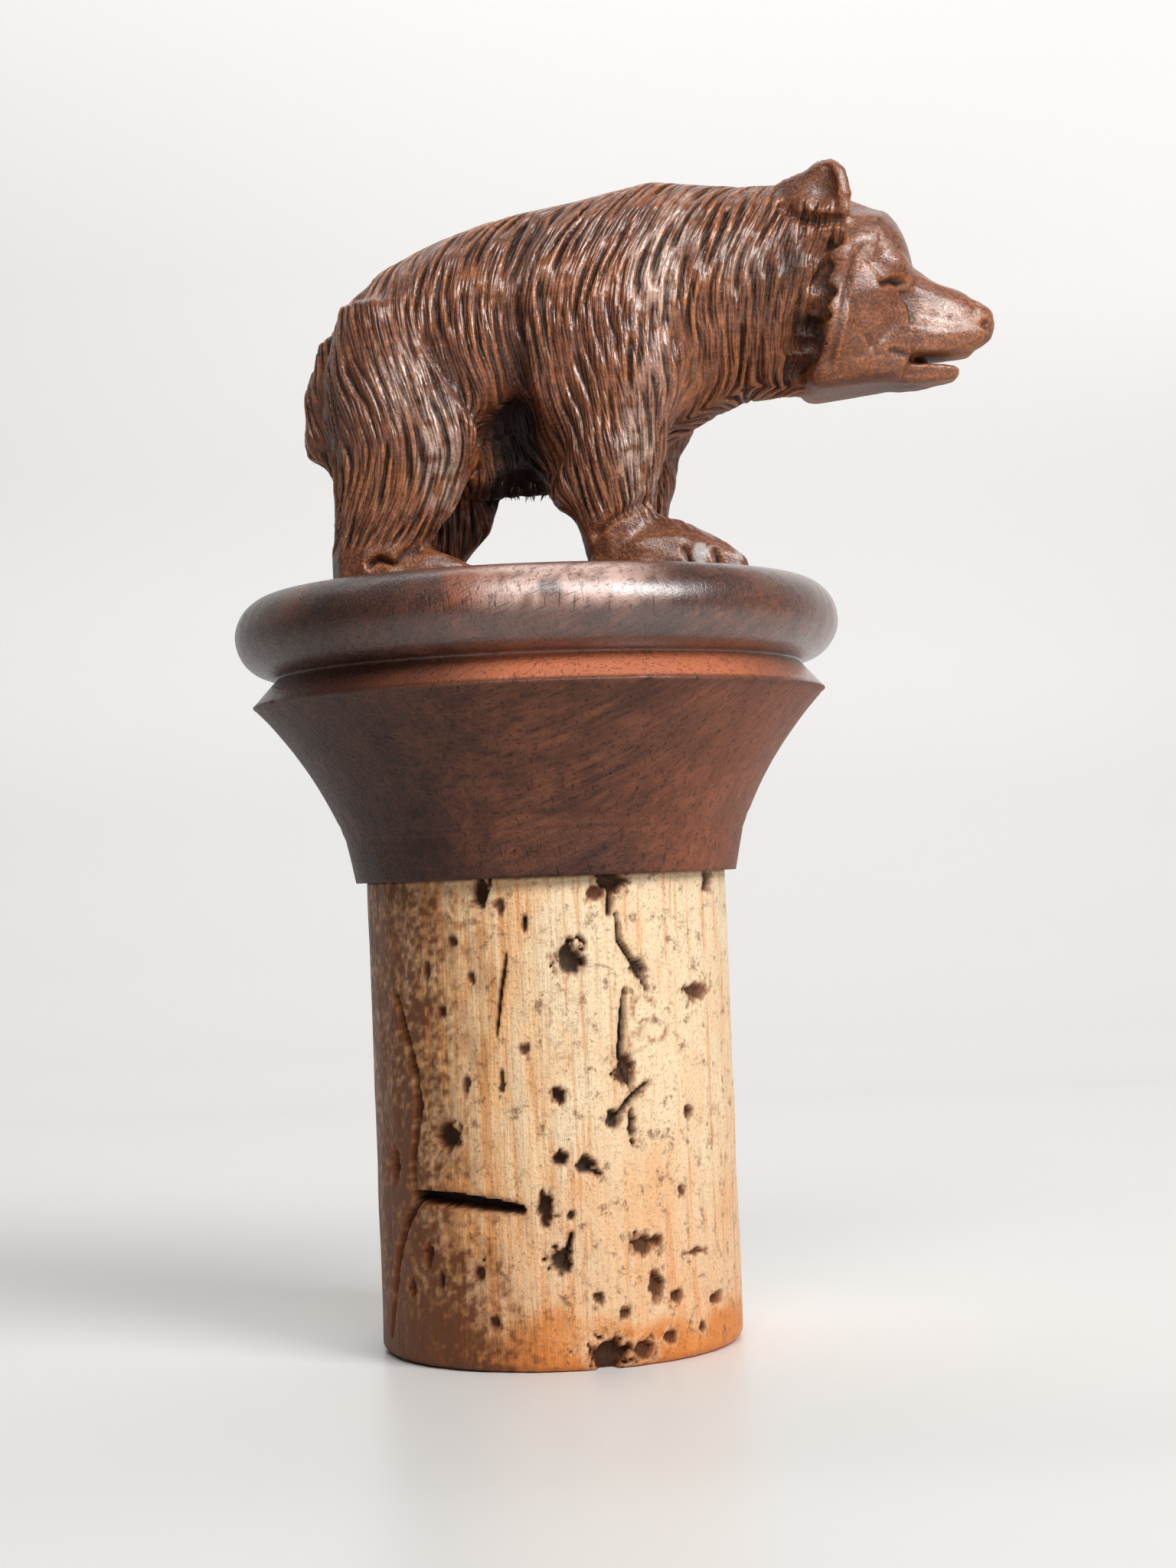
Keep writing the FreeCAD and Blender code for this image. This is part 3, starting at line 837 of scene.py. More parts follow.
@dataclass(frozen=True)
class PolishedCap(Finish):
    """Dark red-brown stained wood under polish, thicker on the bead and the chamfer, with painted
    light on the lit side and painted shade on the bear's rear side.
    """

    name: str = "stained cap wood"
    dark: Colour = (0.012, 0.005, 0.004, 1.0)
    mid: Colour = (0.050, 0.016, 0.010, 1.0)
    pale: Colour = (0.26, 0.085, 0.040, 1.0)
    red: Colour = (0.70, 0.20, 0.085, 1.0)
    painted_bead_highlight: Colour = (0.92, 0.60, 0.50, 1.0)
    figure_turn: float = 24.0
    plain_gloss: float = 0.35
    polish_rough: float = 0.28
    polish_index: float = 1.8

    def dress(self, bench: Bench, shader: bpy.types.Node) -> None:
        """Feed colour, gloss and relief.

        Args:
            bench: bench of the material.
            shader: its shader.
        """
        place = bench.place()
        grain_way = bench.stretched(place, (1.0, 1.0, 1.0), (0.0, self.figure_turn, 0.0))
        wood = FIGURE.use(bench, grain_way)
        shine = bench.attribute("shine")
        painted_side_shade = bench.attribute("painted_side_shade")
        dashes = bench.noise(bench.stretched(place, (4.5, 4.5, 0.8)), 1.0, 2.0, 0.6)
        dashes = bench.ramp(dashes, 0.58, 0.72)
        base = bench.mix(wood["Tone"], self.mid, self.pale)
        base = bench.mix(bench.math("MULTIPLY", wood["Blotch"], 0.6), base, self.mid)
        # Red wood, and painted light on the lit side of the chamfer and the cove
        base = bench.mix(bench.attribute("red_and_painted_light"), base, self.red)
        # Painted highlight on the front of the bead
        base = bench.mix(bench.attribute("painted_bead_highlight"), base, self.painted_bead_highlight)
        base = bench.mix(bench.math("MULTIPLY", bench.attribute("worn"), 0.6), base, self.pale)
        base = bench.mix(bench.math("MULTIPLY", dashes, 0.55), base, self.dark)
        base = bench.mix(bench.math("MULTIPLY", wood["Pores"], 0.5), base, self.dark)
        # Painted shade on the bear's rear side of the cap
        base = bench.mix(painted_side_shade, base, self.dark)
        bench.feed(shader.inputs["Base Color"], base)
        shader.inputs["Specular IOR Level"].default_value = self.plain_gloss
        rough = bench.math("MULTIPLY_ADD", wood["Fleck"], 0.16, 0.42)
        rough = bench.math("MULTIPLY_ADD", shine, -0.2, rough, clamp=True)
        bench.feed(shader.inputs["Roughness"], rough)
        # No polish shine where the painted shade lies
        bare = bench.math("MULTIPLY_ADD", painted_side_shade, -1.2, 1.0, clamp=True)
        bench.feed(shader.inputs["Coat Weight"], bench.math("MULTIPLY", shine, bare))
        shader.inputs["Coat Roughness"].default_value = self.polish_rough
        shader.inputs["Coat IOR"].default_value = self.polish_index
        grain = bench.math("MULTIPLY_ADD", dashes, -0.8, bench.math("MULTIPLY", wood["Fleck"], 0.5))
        grain = bench.math("MULTIPLY_ADD", wood["Pores"], -0.5, grain)
        bench.feed(shader.inputs["Normal"], self.bump(bench, grain, 0.08, 0.8))
        bench.feed(shader.inputs["Coat Normal"], self.bump(bench, grain, 0.012, 0.6))


@dataclass(frozen=True)
class NaturalCork(Finish):
    """Natural cork with growth streaks, dark pits, a brown foot, painted shade on the left and
    painted light on the front and the right.
    """

    name: str = "natural cork"
    tan: Colour = (0.98, 0.47, 0.16, 1.0)
    light: Colour = (0.99, 0.77, 0.50, 1.0)
    brown: Colour = (0.18, 0.060, 0.020, 1.0)
    orange: Colour = (0.80, 0.27, 0.06, 1.0)
    rust: Colour = (0.36, 0.10, 0.025, 1.0)
    pit: Colour = (0.014, 0.005, 0.003, 1.0)
    plain_gloss: float = 0.25

    def dress(self, bench: Bench, shader: bpy.types.Node) -> None:
        """Feed colour, gloss and relief.

        Args:
            bench: bench of the material.
            shader: its shader.
        """
        place = bench.place()
        streaks = bench.noise(bench.stretched(place, (2.4, 2.4, 0.12)), 1.0, 3.0, 0.6, 0.2)
        cloud = bench.noise(bench.stretched(place, (0.3, 0.3, 0.14)), 1.0, 4.0, 0.65, 0.8)
        mottle = bench.noise(place, 1.2, 5.0, 0.75, 0.2)
        grit = bench.noise(place, 6.0, 4.0, 0.75)
        # Paler in clouds, and where painted light lies on the front and the right
        pale_and_painted_light = bench.math("MULTIPLY_ADD", bench.ramp(cloud, 0.4, 0.6), 0.5, bench.attribute("pale_and_painted_light"))
        base = bench.mix(bench.math("MULTIPLY", pale_and_painted_light, 0.75, clamp=True), self.tan, self.light)
        bright = bench.math("MULTIPLY", bench.ramp(streaks, 0.5, 0.62), 0.6)
        base = bench.mix(bright, base, self.light)
        furrow = bench.math("MULTIPLY", bench.ramp(streaks, 0.45, 0.36), 0.45)
        base = bench.mix(furrow, base, self.orange)
        base = bench.mix(bench.attribute("foot"), base, self.orange)
        base = bench.mix(bench.attribute("pale"), base, self.light)
        # Brown of the painted shade on the left, with brown clouds there
        base = bench.mix(bench.attribute("darkening"), base, self.brown)
        spots = bench.math("MULTIPLY", bench.ramp(mottle, 0.53, 0.68), 0.75)
        base = bench.mix(spots, base, self.brown)
        dust = bench.math("MULTIPLY", bench.ramp(grit, 0.53, 0.7), 0.6)
        base = bench.mix(dust, base, self.brown)
        base = bench.mix(bench.attribute("rust"), base, self.rust)
        base = bench.mix(bench.attribute("pit"), base, self.pit)
        bench.feed(shader.inputs["Base Color"], base)
        shader.inputs["Specular IOR Level"].default_value = self.plain_gloss
        bench.feed(shader.inputs["Roughness"], bench.math("MULTIPLY_ADD", grit, 0.3, 0.3))
        height = bench.math("MULTIPLY_ADD", mottle, 0.6, bench.math("MULTIPLY", grit, 0.3))
        height = bench.math("MULTIPLY_ADD", streaks, 0.8, height)
        bench.feed(shader.inputs["Normal"], self.bump(bench, height, 0.25, 0.9))


@dataclass(frozen=True)
class PlainDowel(Finish):
    """Bare birch of the hidden pegs."""

    name: str = "birch dowel"
    mid: Colour = (0.55, 0.38, 0.22, 1.0)
    pale: Colour = (0.68, 0.52, 0.34, 1.0)

    def dress(self, bench: Bench, shader: bpy.types.Node) -> None:
        """Feed colour, gloss and relief.

        Args:
            bench: bench of the material.
            shader: its shader.
        """
        upright = bench.stretched(bench.place(), (1.0, 1.0, 1.0), (0.0, 90.0, 0.0))
        wood = FIGURE.use(bench, upright)
        base = bench.mix(wood["Tone"], self.mid, self.pale)
        bench.feed(shader.inputs["Base Color"], base)
        bench.feed(shader.inputs["Roughness"], bench.math("MULTIPLY_ADD", wood["Fleck"], 0.2, 0.5))
        bench.feed(shader.inputs["Normal"], self.bump(bench, wood["Pores"], 0.02, 0.5))


# The bear


BROAD_STROKES = Gouge(pitch=1.3, length=6.0, width=0.5, skew=0.5, wander=0.25, seed=1.0)
MID_STROKES = Gouge(pitch=0.54, length=4.6, width=0.30, skew=0.35, wander=0.27, seed=2.0)
FINE_STROKES = Gouge(pitch=0.29, length=2.6, width=0.14, skew=0.4, wander=0.35, seed=5.0)
FINEST_STROKES = Gouge(pitch=0.16, length=1.5, width=0.08, skew=0.6, wander=0.35, seed=9.0)

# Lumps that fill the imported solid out, each the corners of a rounded mass:
# place along, half width and height
LUMPS = (
    # Face and cheeks
    (
        (17.2, 4.0, 60.6), (17.6, 4.5, 59.3), (16.9, 4.75, 57.0), (16.9, 4.8, 55.5),
        (16.2, 4.5, 54.0), (15.3, 3.8, 52.4), (15.8, 3.0, 51.8), (18.2, 2.6, 52.1),
        (20.6, 2.4, 52.3), (21.3, 2.5, 54.0), (21.4, 2.5, 56.4), (20.4, 3.2, 57.2),
        (20.8, 3.0, 59.2), (19.4, 3.8, 60.2),
    ),
    # Forehead
    (
        (17.6, 2.4, 62.0), (19.2, 1.6, 62.1), (20.3, 1.2, 61.9), (21.05, 1.0, 61.1),
        (21.5, 1.0, 59.9), (21.6, 1.2, 59.0), (20.9, 2.7, 60.2), (20.8, 3.0, 59.0),
        (19.6, 3.2, 61.2), (17.8, 3.7, 61.0), (20.0, 3.0, 58.0),
    ),
    # Upper muzzle
    (
        (21.0, 1.3, 58.9), (21.2, 1.7, 57.6), (21.4, 2.8, 55.0), (21.4, 2.7, 53.8),
        (23.8, 0.75, 57.6), (23.6, 1.1, 57.0), (23.6, 2.15, 54.9), (23.6, 2.0, 53.9),
        (25.9, 0.5, 56.45), (26.15, 0.5, 56.1), (25.75, 1.3, 55.0), (24.9, 1.3, 54.0),
        (25.9, 0.95, 55.9),
    ),
    # Lower jaw
    (
        (16.6, 2.4, 52.2), (19.7, 1.9, 52.15), (21.9, 1.5, 52.2), (24.0, 0.7, 52.55),
        (24.1, 0.9, 53.2), (21.6, 1.8, 53.3), (19.0, 2.2, 53.4),
    ),
    # Tail
    (
        (-10.2, 1.5, 57.0), (-10.9, 1.2, 56.2), (-11.5, 1.1, 54.8), (-12.1, 1.1, 52.8),
        (-12.6, 1.0, 50.9), (-12.6, 0.9, 49.6), (-12.0, 1.0, 49.0), (-11.0, 1.3, 48.9),
        (-10.2, 1.6, 51.0),
    ),
)

# Lumps of one side: place along, place across outwards and height
EAR_LUMP = (
    (12.8, 1.3, 63.2), (13.9, 1.7, 62.2), (14.2, 3.1, 61.6), (15.3, 2.0, 63.8),
    (16.7, 2.6, 64.35), (17.5, 3.1, 64.05), (17.95, 3.5, 63.3), (18.05, 4.0, 61.6),
    (17.7, 4.15, 60.9), (15.4, 4.0, 61.3), (17.9, 2.9, 61.4), (16.7, 3.3, 64.2),
    (17.3, 2.2, 61.5),
)

SIDE_LUMPS = {
    Side.NEAR: (
        EAR_LUMP,
        # Fore paw and its two worn claws
        (
            (3.0, 2.9, 41.7), (3.0, 5.2, 41.7), (3.4, 3.2, 43.7), (3.4, 4.9, 43.7),
            (4.6, 4.2, 44.6), (6.6, 4.4, 45.4), (8.5, 4.3, 44.6), (10.6, 4.2, 43.5),
            (11.5, 4.2, 42.7), (11.75, 4.2, 41.7), (11.2, 5.4, 42.0), (11.2, 3.0, 42.0),
            (8.6, 6.1, 42.2), (8.6, 2.5, 42.2), (6.0, 6.0, 41.7), (5.6, 5.9, 43.4),
            (8.8, 5.7, 43.4), (8.8, 3.0, 43.6), (11.2, 5.4, 41.7), (11.2, 3.0, 41.7),
        ),
        (
            (8.6, 5.7, 43.5), (9.2, 5.7, 43.4), (8.65, 6.1, 42.7), (9.3, 6.05, 42.5),
            (8.7, 6.2, 41.7), (9.35, 6.15, 41.7), (8.9, 5.2, 41.8),
        ),
        (
            (10.4, 5.2, 42.9), (10.9, 5.0, 43.1), (11.2, 5.1, 42.7), (10.4, 5.7, 41.7),
            (11.3, 5.45, 41.7), (10.8, 4.4, 41.8),
        ),
        # Toes of the hind paw
        (
            (-7.6, 4.9, 41.7), (-7.4, 5.4, 42.8), (-6.2, 4.6, 43.4), (-4.6, 5.0, 43.0),
            (-3.3, 4.6, 42.5), (-3.0, 4.4, 41.7), (-4.6, 6.0, 42.2), (-4.6, 6.1, 41.7),
            (-4.2, 3.2, 41.7), (-6.0, 3.2, 43.0), (-7.6, 6.0, 41.7),
        ),
        # Corner between the belly and the fore leg
        (
            (2.3, 2.4, 45.1), (1.25, 2.4, 46.65), (0.2, 2.4, 46.95), (-0.6, 2.4, 47.4),
            (3.0, 2.4, 48.5), (2.3, 4.6, 45.1), (1.4, 4.8, 46.7), (1.2, 4.6, 47.6),
            (3.4, 4.8, 48.6), (3.4, 2.4, 45.0),
        ),
    ),
    Side.FAR: (
        EAR_LUMP,
        # Fore paw
        (
            (4.2, 2.9, 41.7), (4.2, 5.2, 41.7), (4.4, 3.2, 43.7), (4.4, 4.9, 43.7),
            (6.0, 4.2, 45.4), (8.3, 4.2, 45.3), (9.6, 4.3, 44.0), (11.4, 4.2, 43.0),
            (12.2, 4.2, 42.3), (12.4, 4.2, 41.7), (11.8, 5.4, 42.0), (11.8, 3.0, 42.0),
            (9.6, 6.0, 42.2), (9.6, 2.5, 42.2), (7.0, 5.9, 41.7), (6.6, 5.8, 43.4),
            (9.8, 5.5, 43.2), (9.8, 3.0, 43.2), (12.0, 5.3, 41.7), (12.0, 3.0, 41.7),
        ),
        # Front of the hind leg and its paw
        (
            (-4.9, 2.6, 43.0), (-2.7, 2.6, 45.5), (-1.5, 2.6, 46.6), (-0.5, 2.8, 47.4),
            (-4.9, 5.2, 43.0), (-2.7, 5.3, 45.5), (-1.5, 5.4, 47.0), (-4.5, 5.4, 49.0),
            (-6.0, 3.0, 44.0), (-6.0, 5.4, 44.0), (-4.5, 2.8, 49.0),
        ),
        (
            (-7.0, 3.0, 41.7), (-6.4, 4.0, 43.8), (-4.2, 4.2, 43.4), (-2.6, 4.3, 42.4),
            (-2.4, 4.3, 41.7), (-3.6, 6.0, 41.7), (-3.6, 2.9, 41.7), (-7.0, 5.9, 41.7),
        ),
        # Corner between the belly and the fore leg
        (
            (2.6, 2.4, 45.6), (1.6, 2.4, 46.8), (0.2, 2.4, 47.2), (4.0, 2.4, 48.5),
            (2.8, 4.6, 45.6), (2.0, 4.8, 47.0), (4.2, 4.8, 48.6), (4.2, 2.4, 45.2),
        ),
    ),
}


@dataclass(frozen=True)
class Press:
    """Soft push on both sides of the bear, outwards where the amount is positive.

    Place is along, across and height, and reach is the half size of the patch. The last number
    darkens the patch with painted shade.
    """

    place: Triple
    reach: Triple
    amount: float
    darkening: float = 0.0


@dataclass(frozen=True)
class Cut:
    """Knife cut on both flanks, along a route of places and heights.

    Left and right are how wide it slopes on each hand of the route, so that a
    small number makes a steep wall. The last number darkens it with painted shade.
    """

    route: Route
    left: float
    right: float
    deep: float
    darkening: float = 0.3


PRESSES = (
    # Hollow of the belly between the legs, darkened with painted shade
    Press((-0.7, 5.0, 48.6), (2.7, 6.0, 5.0), -2.2, 1.7),
    Press((-0.4, 5.0, 53.0), (1.5, 4.0, 5.0), -0.4, 0.7),
    Press((-0.7, 0.0, 47.0), (3.4, 9.0, 1.8), 0.0, 1.5),
    # Thigh and knee, shoulder and neck
    Press((-7.6, 5.0, 51.8), (3.6, 4.0, 4.8), 0.45),
    Press((-3.7, 5.0, 50.0), (2.0, 3.0, 2.8), 0.5),
    Press((5.6, 5.0, 55.0), (4.4, 4.0, 5.5), 0.55),
    Press((4.0, 5.0, 48.2), (2.2, 3.0, 2.6), 0.25),
    Press((12.6, 4.5, 56.5), (2.6, 3.5, 4.0), 0.3),
    # Under the neck, pressed in and darkened with painted shade
    Press((15.2, 4.2, 54.6), (1.6, 2.5, 3.4), -0.5, 0.9),
    Press((8.4, 3.5, 49.4), (1.2, 4.5, 1.6), -0.3),
    # Rump above the tail
    Press((-12.0, 0.0, 54.6), (1.5, 3.0, 1.9), -0.35),
    Press((-12.2, 0.0, 48.6), (1.2, 3.0, 1.0), -0.35),
    # Shade behind the ruff, on the neck and on the rump
    Press((14.7, 4.4, 58.6), (1.7, 3.5, 3.2), -0.05, 0.85),
    Press((13.4, 4.4, 57.0), (2.6, 4.0, 5.0), 0.0, 0.6),
    Press((-10.4, 4.0, 51.0), (2.8, 5.0, 7.0), 0.0, 0.65),
    # Ruff, brow, temple and eye socket
    Press((17.4, 4.4, 59.0), (1.3, 2.0, 1.9), 0.35),
    Press((16.9, 4.3, 55.2), (1.3, 2.0, 2.3), 0.35),
    Press((20.5, 3.0, 58.6), (1.2, 1.6, 0.9), 0.35),
    Press((19.3, 4.0, 60.0), (1.6, 2.5, 1.5), 0.2),
    Press((20.9, 3.2, 57.0), (1.1, 2.2, 1.1), -0.4),
    Press((19.6, 4.0, 55.2), (1.6, 2.5, 2.2), -0.25),
    # Bridge of the nose, nostrils and chin, with painted shade in the nostrils and under the chin
    Press((23.3, 0.6, 58.2), (2.2, 1.5, 0.9), -0.2),
    Press((25.6, 1.05, 55.4), (0.55, 0.6, 0.5), -0.5, 0.8),
    Press((20.5, 0.0, 51.9), (5.5, 4.5, 0.9), -0.05, 0.6),
    # Inside of the ear, with painted shade in it
    Press((16.5, 3.4, 62.6), (1.2, 1.6, 1.4), -0.4, 0.4),
    Press((16.7, 3.0, 64.6), (1.2, 1.5, 0.5), -0.2),
)

CHEEK_EDGE = (
    (17.6, 60.4), (17.4, 59.5), (16.5, 59.0), (16.9, 58.3), (16.3, 57.5), (16.95, 56.9),
    (16.3, 56.0), (16.6, 55.5), (15.7, 54.9), (16.1, 54.4), (15.4, 53.9), (15.8, 53.4),
    (15.0, 52.7), (15.5, 52.2), (15.4, 51.4),
)

# Each cut darkens its crease with painted shade
CUTS = (
    # Behind the shoulder, before the thigh and beside the tail
    Cut(
        ((1.4, 62.0), (0.2, 60.0), (-0.3, 57.0), (-0.3, 53.5), (0.3, 50.5), (1.3, 48.0)),
        0.35, 1.2, 0.45, 0.6,
    ),
    Cut(
        ((-5.6, 55.6), (-4.6, 53.6), (-3.4, 51.6), (-2.4, 49.9), (-2.2, 48.6), (-3.2, 47.0)),
        0.9, 0.22, 0.5, 0.6,
    ),
    Cut(((-10.6, 57.0), (-11.0, 55.0), (-11.25, 52.0), (-11.1, 49.0)), 0.3, 0.3, 0.4),
    # Rear edge of the ruff and a tuft line within it
    Cut(CHEEK_EDGE, 0.12, 0.9, 0.8, 0.5),
    Cut(
        ((18.2, 59.0), (17.8, 57.3), (17.3, 55.6), (16.9, 54.0), (16.6, 52.6)),
        0.1, 0.3, 0.2, 0.45,
    ),
    Cut(((17.6, 56.6), (18.3, 55.0), (19.4, 53.4)), 0.25, 0.12, 0.12, 0.3),
    # Crease under the ear
    Cut(((14.0, 62.2), (14.9, 61.3), (16.2, 60.8), (17.9, 60.8)), 0.5, 0.14, 0.3, 0.35),
    # Eye, crease before it, mouth and cheek
    Cut(((19.4, 57.35), (20.3, 57.66), (21.2, 57.6)), 0.14, 0.24, 0.5, 1.0),
    Cut(((21.05, 57.3), (21.2, 56.4), (21.3, 55.2)), 0.35, 0.12, 0.28, 0.8),
    Cut(((17.9, 53.2), (19.4, 54.2), (20.6, 55.4)), 0.5, 0.12, 0.1, 0.1),
    Cut(((18.2, 59.4), (19.2, 58.3), (19.7, 57.6)), 0.4, 0.14, 0.14, 0.2),
    Cut(((19.9, 53.9), (21.2, 53.55), (21.9, 53.45)), 0.15, 0.2, 0.2, 0.8),
    # Hollow in the hind foot, top edge of the fore paw and its toes
    Cut(
        ((-9.0, 42.7), (-8.3, 43.1), (-7.5, 42.9), (-6.7, 43.5), (-5.8, 43.7)),
        0.22, 0.15, 0.6, 0.9,
    ),
    Cut(((3.2, 43.8), (4.4, 44.7), (5.6, 45.3), (6.8, 45.9)), 0.3, 0.12, 0.35),
    Cut(((8.1, 43.2), (8.35, 42.4), (8.4, 41.8)), 0.14, 0.14, 0.25, 0.8),
    Cut(((9.7, 43.0), (9.85, 42.4), (9.9, 41.8)), 0.16, 0.16, 0.3, 0.9),
)


def route_distance(route: Route, flat: np.ndarray) -> tuple[np.ndarray, np.ndarray]:
    """Distance from a route, positive on its left hand, and the share passed.

    Args:
        route: its points.
        flat: places, two numbers each.

    Returns:
        Distance and share passed, from 0 to 1, for each place.
    """
    best = np.full(len(flat), 1e9)
    share = np.zeros(len(flat))
    runs = len(route) - 1
    for index, (start, end) in enumerate(zip(route[:-1], route[1:])):
        run = np.subtract(end, start)
        offset = flat - np.array(start)
        part = np.clip(offset @ run / (run @ run), 0.0, 1.0)
        gap = offset - part[:, None] * run
        hand = np.where(run[0] * offset[:, 1] - run[1] * offset[:, 0] < 0.0, -1.0, 1.0)
        far = np.linalg.norm(gap, axis=1)
        closer = far < np.abs(best)
        best = np.where(closer, far * hand, best)
        share = np.where(closer, (index + part) / runs, share)
    return best, share


# Painted highlights, as patches of paler wood: place along, height, half width, half height and
# amount
PAINTED_HIGHLIGHTS = (
    (8.7, 61.0, 1.6, 2.6, 0.7), (7.1, 58.0, 1.5, 3.6, 0.95), (5.9, 48.6, 1.3, 4.4, 1.0),
    (-4.8, 48.8, 1.5, 4.2, 1.0), (-6.6, 52.8, 2.2, 3.4, 0.45), (19.3, 59.2, 1.3, 1.6, 0.8),
    (23.0, 55.7, 2.2, 1.1, 1.0), (11.6, 58.6, 1.6, 2.6, 0.5), (17.1, 57.0, 0.5, 3.0, 0.4),
    (7.0, 53.0, 1.2, 3.4, 0.5), (0.5, 59.5, 1.6, 2.4, 0.25),
)

# Pale claws, worn and with a painted highlight: middle and half size
CLAWS = (((9.0, -6.1, 42.75), (0.42, 0.5, 0.9)), ((10.9, -5.4, 42.4), (0.6, 0.6, 0.55)))

# Lean of the coat at places along the body and heights, in degrees from
# straight down, forwards being positive
COAT_LEAN = (
    (-10.4, 55.5, 5), (-8.7, 55.2, 30), (-7.2, 52.0, 15), (-6.1, 47.6, -8),
    (-8.3, 45.3, -30), (-7.0, 58.6, -10), (-4.6, 58.3, -15), (-2.4, 57.5, -5),
    (-4.5, 55.5, 18), (-3.9, 52.3, 28), (-3.0, 50.7, 25), (-1.4, 59.8, -30),
    (-0.2, 53.0, 0), (0.3, 49.5, 5), (1.5, 51.5, 5), (2.3, 47.0, 20),
    (2.2, 61.8, -35), (4.3, 61.6, -38), (4.5, 58.9, -20), (4.0, 55.0, 0),
    (7.2, 59.5, -30), (6.5, 56.3, -6), (7.5, 52.0, 8), (6.5, 48.0, 8),
    (9.9, 61.3, -42), (8.5, 60.0, -35), (9.5, 57.0, -8), (10.0, 54.3, 15),
    (13.2, 61.6, -45), (12.2, 60.4, -30), (11.9, 58.0, -2), (12.3, 55.5, 10),
    (13.0, 54.2, 22), (15.3, 60.0, -12), (14.3, 57.0, 0), (14.5, 54.5, 18),
    (16.0, 57.0, 3), (12.5, 53.0, 20),
)


@dataclass
class CarvedBear:
    """The walking bear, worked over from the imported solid. Lengths are in mm."""

    voxel: float = 0.178
    near_gain: float = 0.035
    pivot: Pair = (7.0, 53.0)
    smoothing: int = 36
    broad_depth: float = 0.12
    mid_depth: float = 0.2
    broad_darkening: float = 0.4
    lean_reach: float = 1.8
    field_rounds: int = 500
    splinters: int = 34
    splinter_seed: int = 4
    belly: float = 47.05

    def build(self) -> bpy.types.Object:
        """Carve the mesh, dress it and link it.

        Returns:
            The bear.
        """
        mesh = self.blank()
        edges = edges_of(mesh)
        places = self.soften(points_of(mesh), edges)
        places, painted_shade = self.carve(mesh, places)
        put_points(mesh, places)
        normals = normals_of(mesh)
        coat = self.coat_mask(places)
        strand = self.strands(places, normals, np.concatenate([edges, diagonals_of(mesh)]))
        broad = BROAD_STROKES.depth(*strand)
        cut = coat * (self.broad_depth * broad + self.mid_depth * MID_STROKES.depth(*strand))
        carved = places - normals * cut[:, None]
        carved[:, 2] = np.maximum(carved[:, 2], CAP_TOP)
        put_points(mesh, carved)
        attach(mesh, "coat", coat)
        attach(mesh, "claw", self.claws(carved))
        # Painted highlight in patches
        attach(mesh, "painted_highlight", self.painted_highlight(carved))
        attach(mesh, "waxed", smooth_step(-0.6, 0.0, normals[:, 2]) * (0.85 + 0.15 * coat))
        # Painted shade of the presses and cuts, and the darkening of the broad strokes, which is
        # stain in them and painted shade
        attach(mesh, "hollow", np.maximum(painted_shade, broad * coat * self.broad_darkening))
        attach(mesh, "ridge", self.ridges(carved, edges, normals_of(mesh)))
        self.lay_uv(mesh, strand)
        put_points(mesh, carved * MM)
        self.splinter(mesh)
        mesh.materials.append(CarvedWalnut().material())
        return piece_of("carved_bear_dressed", mesh, "carved_bear")

    def blank(self) -> bpy.types.Mesh:
        """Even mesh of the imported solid, denser on the near side.

        Returns:
            Mesh in millimetres.
        """
        bm = bmesh.new()
        bm.from_mesh(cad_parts["carved_bear"].data)
        bmesh.ops.remove_doubles(bm, verts=bm.verts, dist=1e-7)
        bmesh.ops.scale(bm, verts=bm.verts, vec=(1.0 / MM,) * 3)
        for corners in LUMPS:
            self.lump(bm, [(x, y * side.value, z) for side in Side for x, y, z in corners])
        for side, lumps in SIDE_LUMPS.items():
            for corners in lumps:
                self.lump(bm, [(x, y * side.value, z) for x, y, z in corners])
        rough = mesh_from(bm, "bear blank")
        put_points(rough, self.lens(points_of(rough), 1))
        holder = linked("bear blank", rough)
        remesh = holder.modifiers.new("even", "REMESH")
        remesh.mode = "VOXEL"
        remesh.voxel_size = self.voxel
        shown = holder.evaluated_get(bpy.context.evaluated_depsgraph_get())
        mesh = bpy.data.meshes.new_from_object(shown)
        bpy.data.objects.remove(holder)
        put_points(mesh, self.lens(points_of(mesh), -1))
        LOG.info("bear blank has %d faces", len(mesh.polygons))
        return mesh

    def soften(self, places: Points, edges: np.ndarray) -> Points:
        """Round the facets off, less on the ears, the nose and the paws.

        Args:
            places: vertex places.
            edges: vertex pairs.

        Returns:
            The new places.
        """
        along, _, height = places.T
        ears = smooth_step(60.8, 61.6, height) * smooth_step(13.6, 14.4, along)
        nose = smooth_step(21.0, 22.0, along + smooth_step(54.2, 53.6, height))
        paws = smooth_step(45.0, 43.8, height)
        keep = np.maximum(np.maximum(ears, nose), paws)[:, None]
        smooth = relax(places, edges, self.smoothing, swell=0.0)
        crisp = relax(places, edges, 12)
        return smooth * (1.0 - keep) + crisp * keep

    def carve(self, mesh: bpy.types.Mesh, places: Points) -> tuple[Points, np.ndarray]:
        """Press the muscles out and in, then cut the creases, and gather their painted shade.

        Args:
            mesh: mesh that the places belong to.
            places: its softened places.

        Returns:
            The new places, and how much dirt lies at each.
        """
        put_points(mesh, places)
        normals = normals_of(mesh)
        mirrored = places.copy()
        mirrored[:, 1] = np.abs(places[:, 1])
        change = np.zeros(len(places))
        painted_shade = np.zeros(len(places))
        for press in PRESSES:
            far = (((mirrored - np.array(press.place)) / np.array(press.reach)) ** 2).sum(axis=1)
            within = np.clip(1.0 - far, 0.0, 1.0) ** 2
            change += press.amount * within
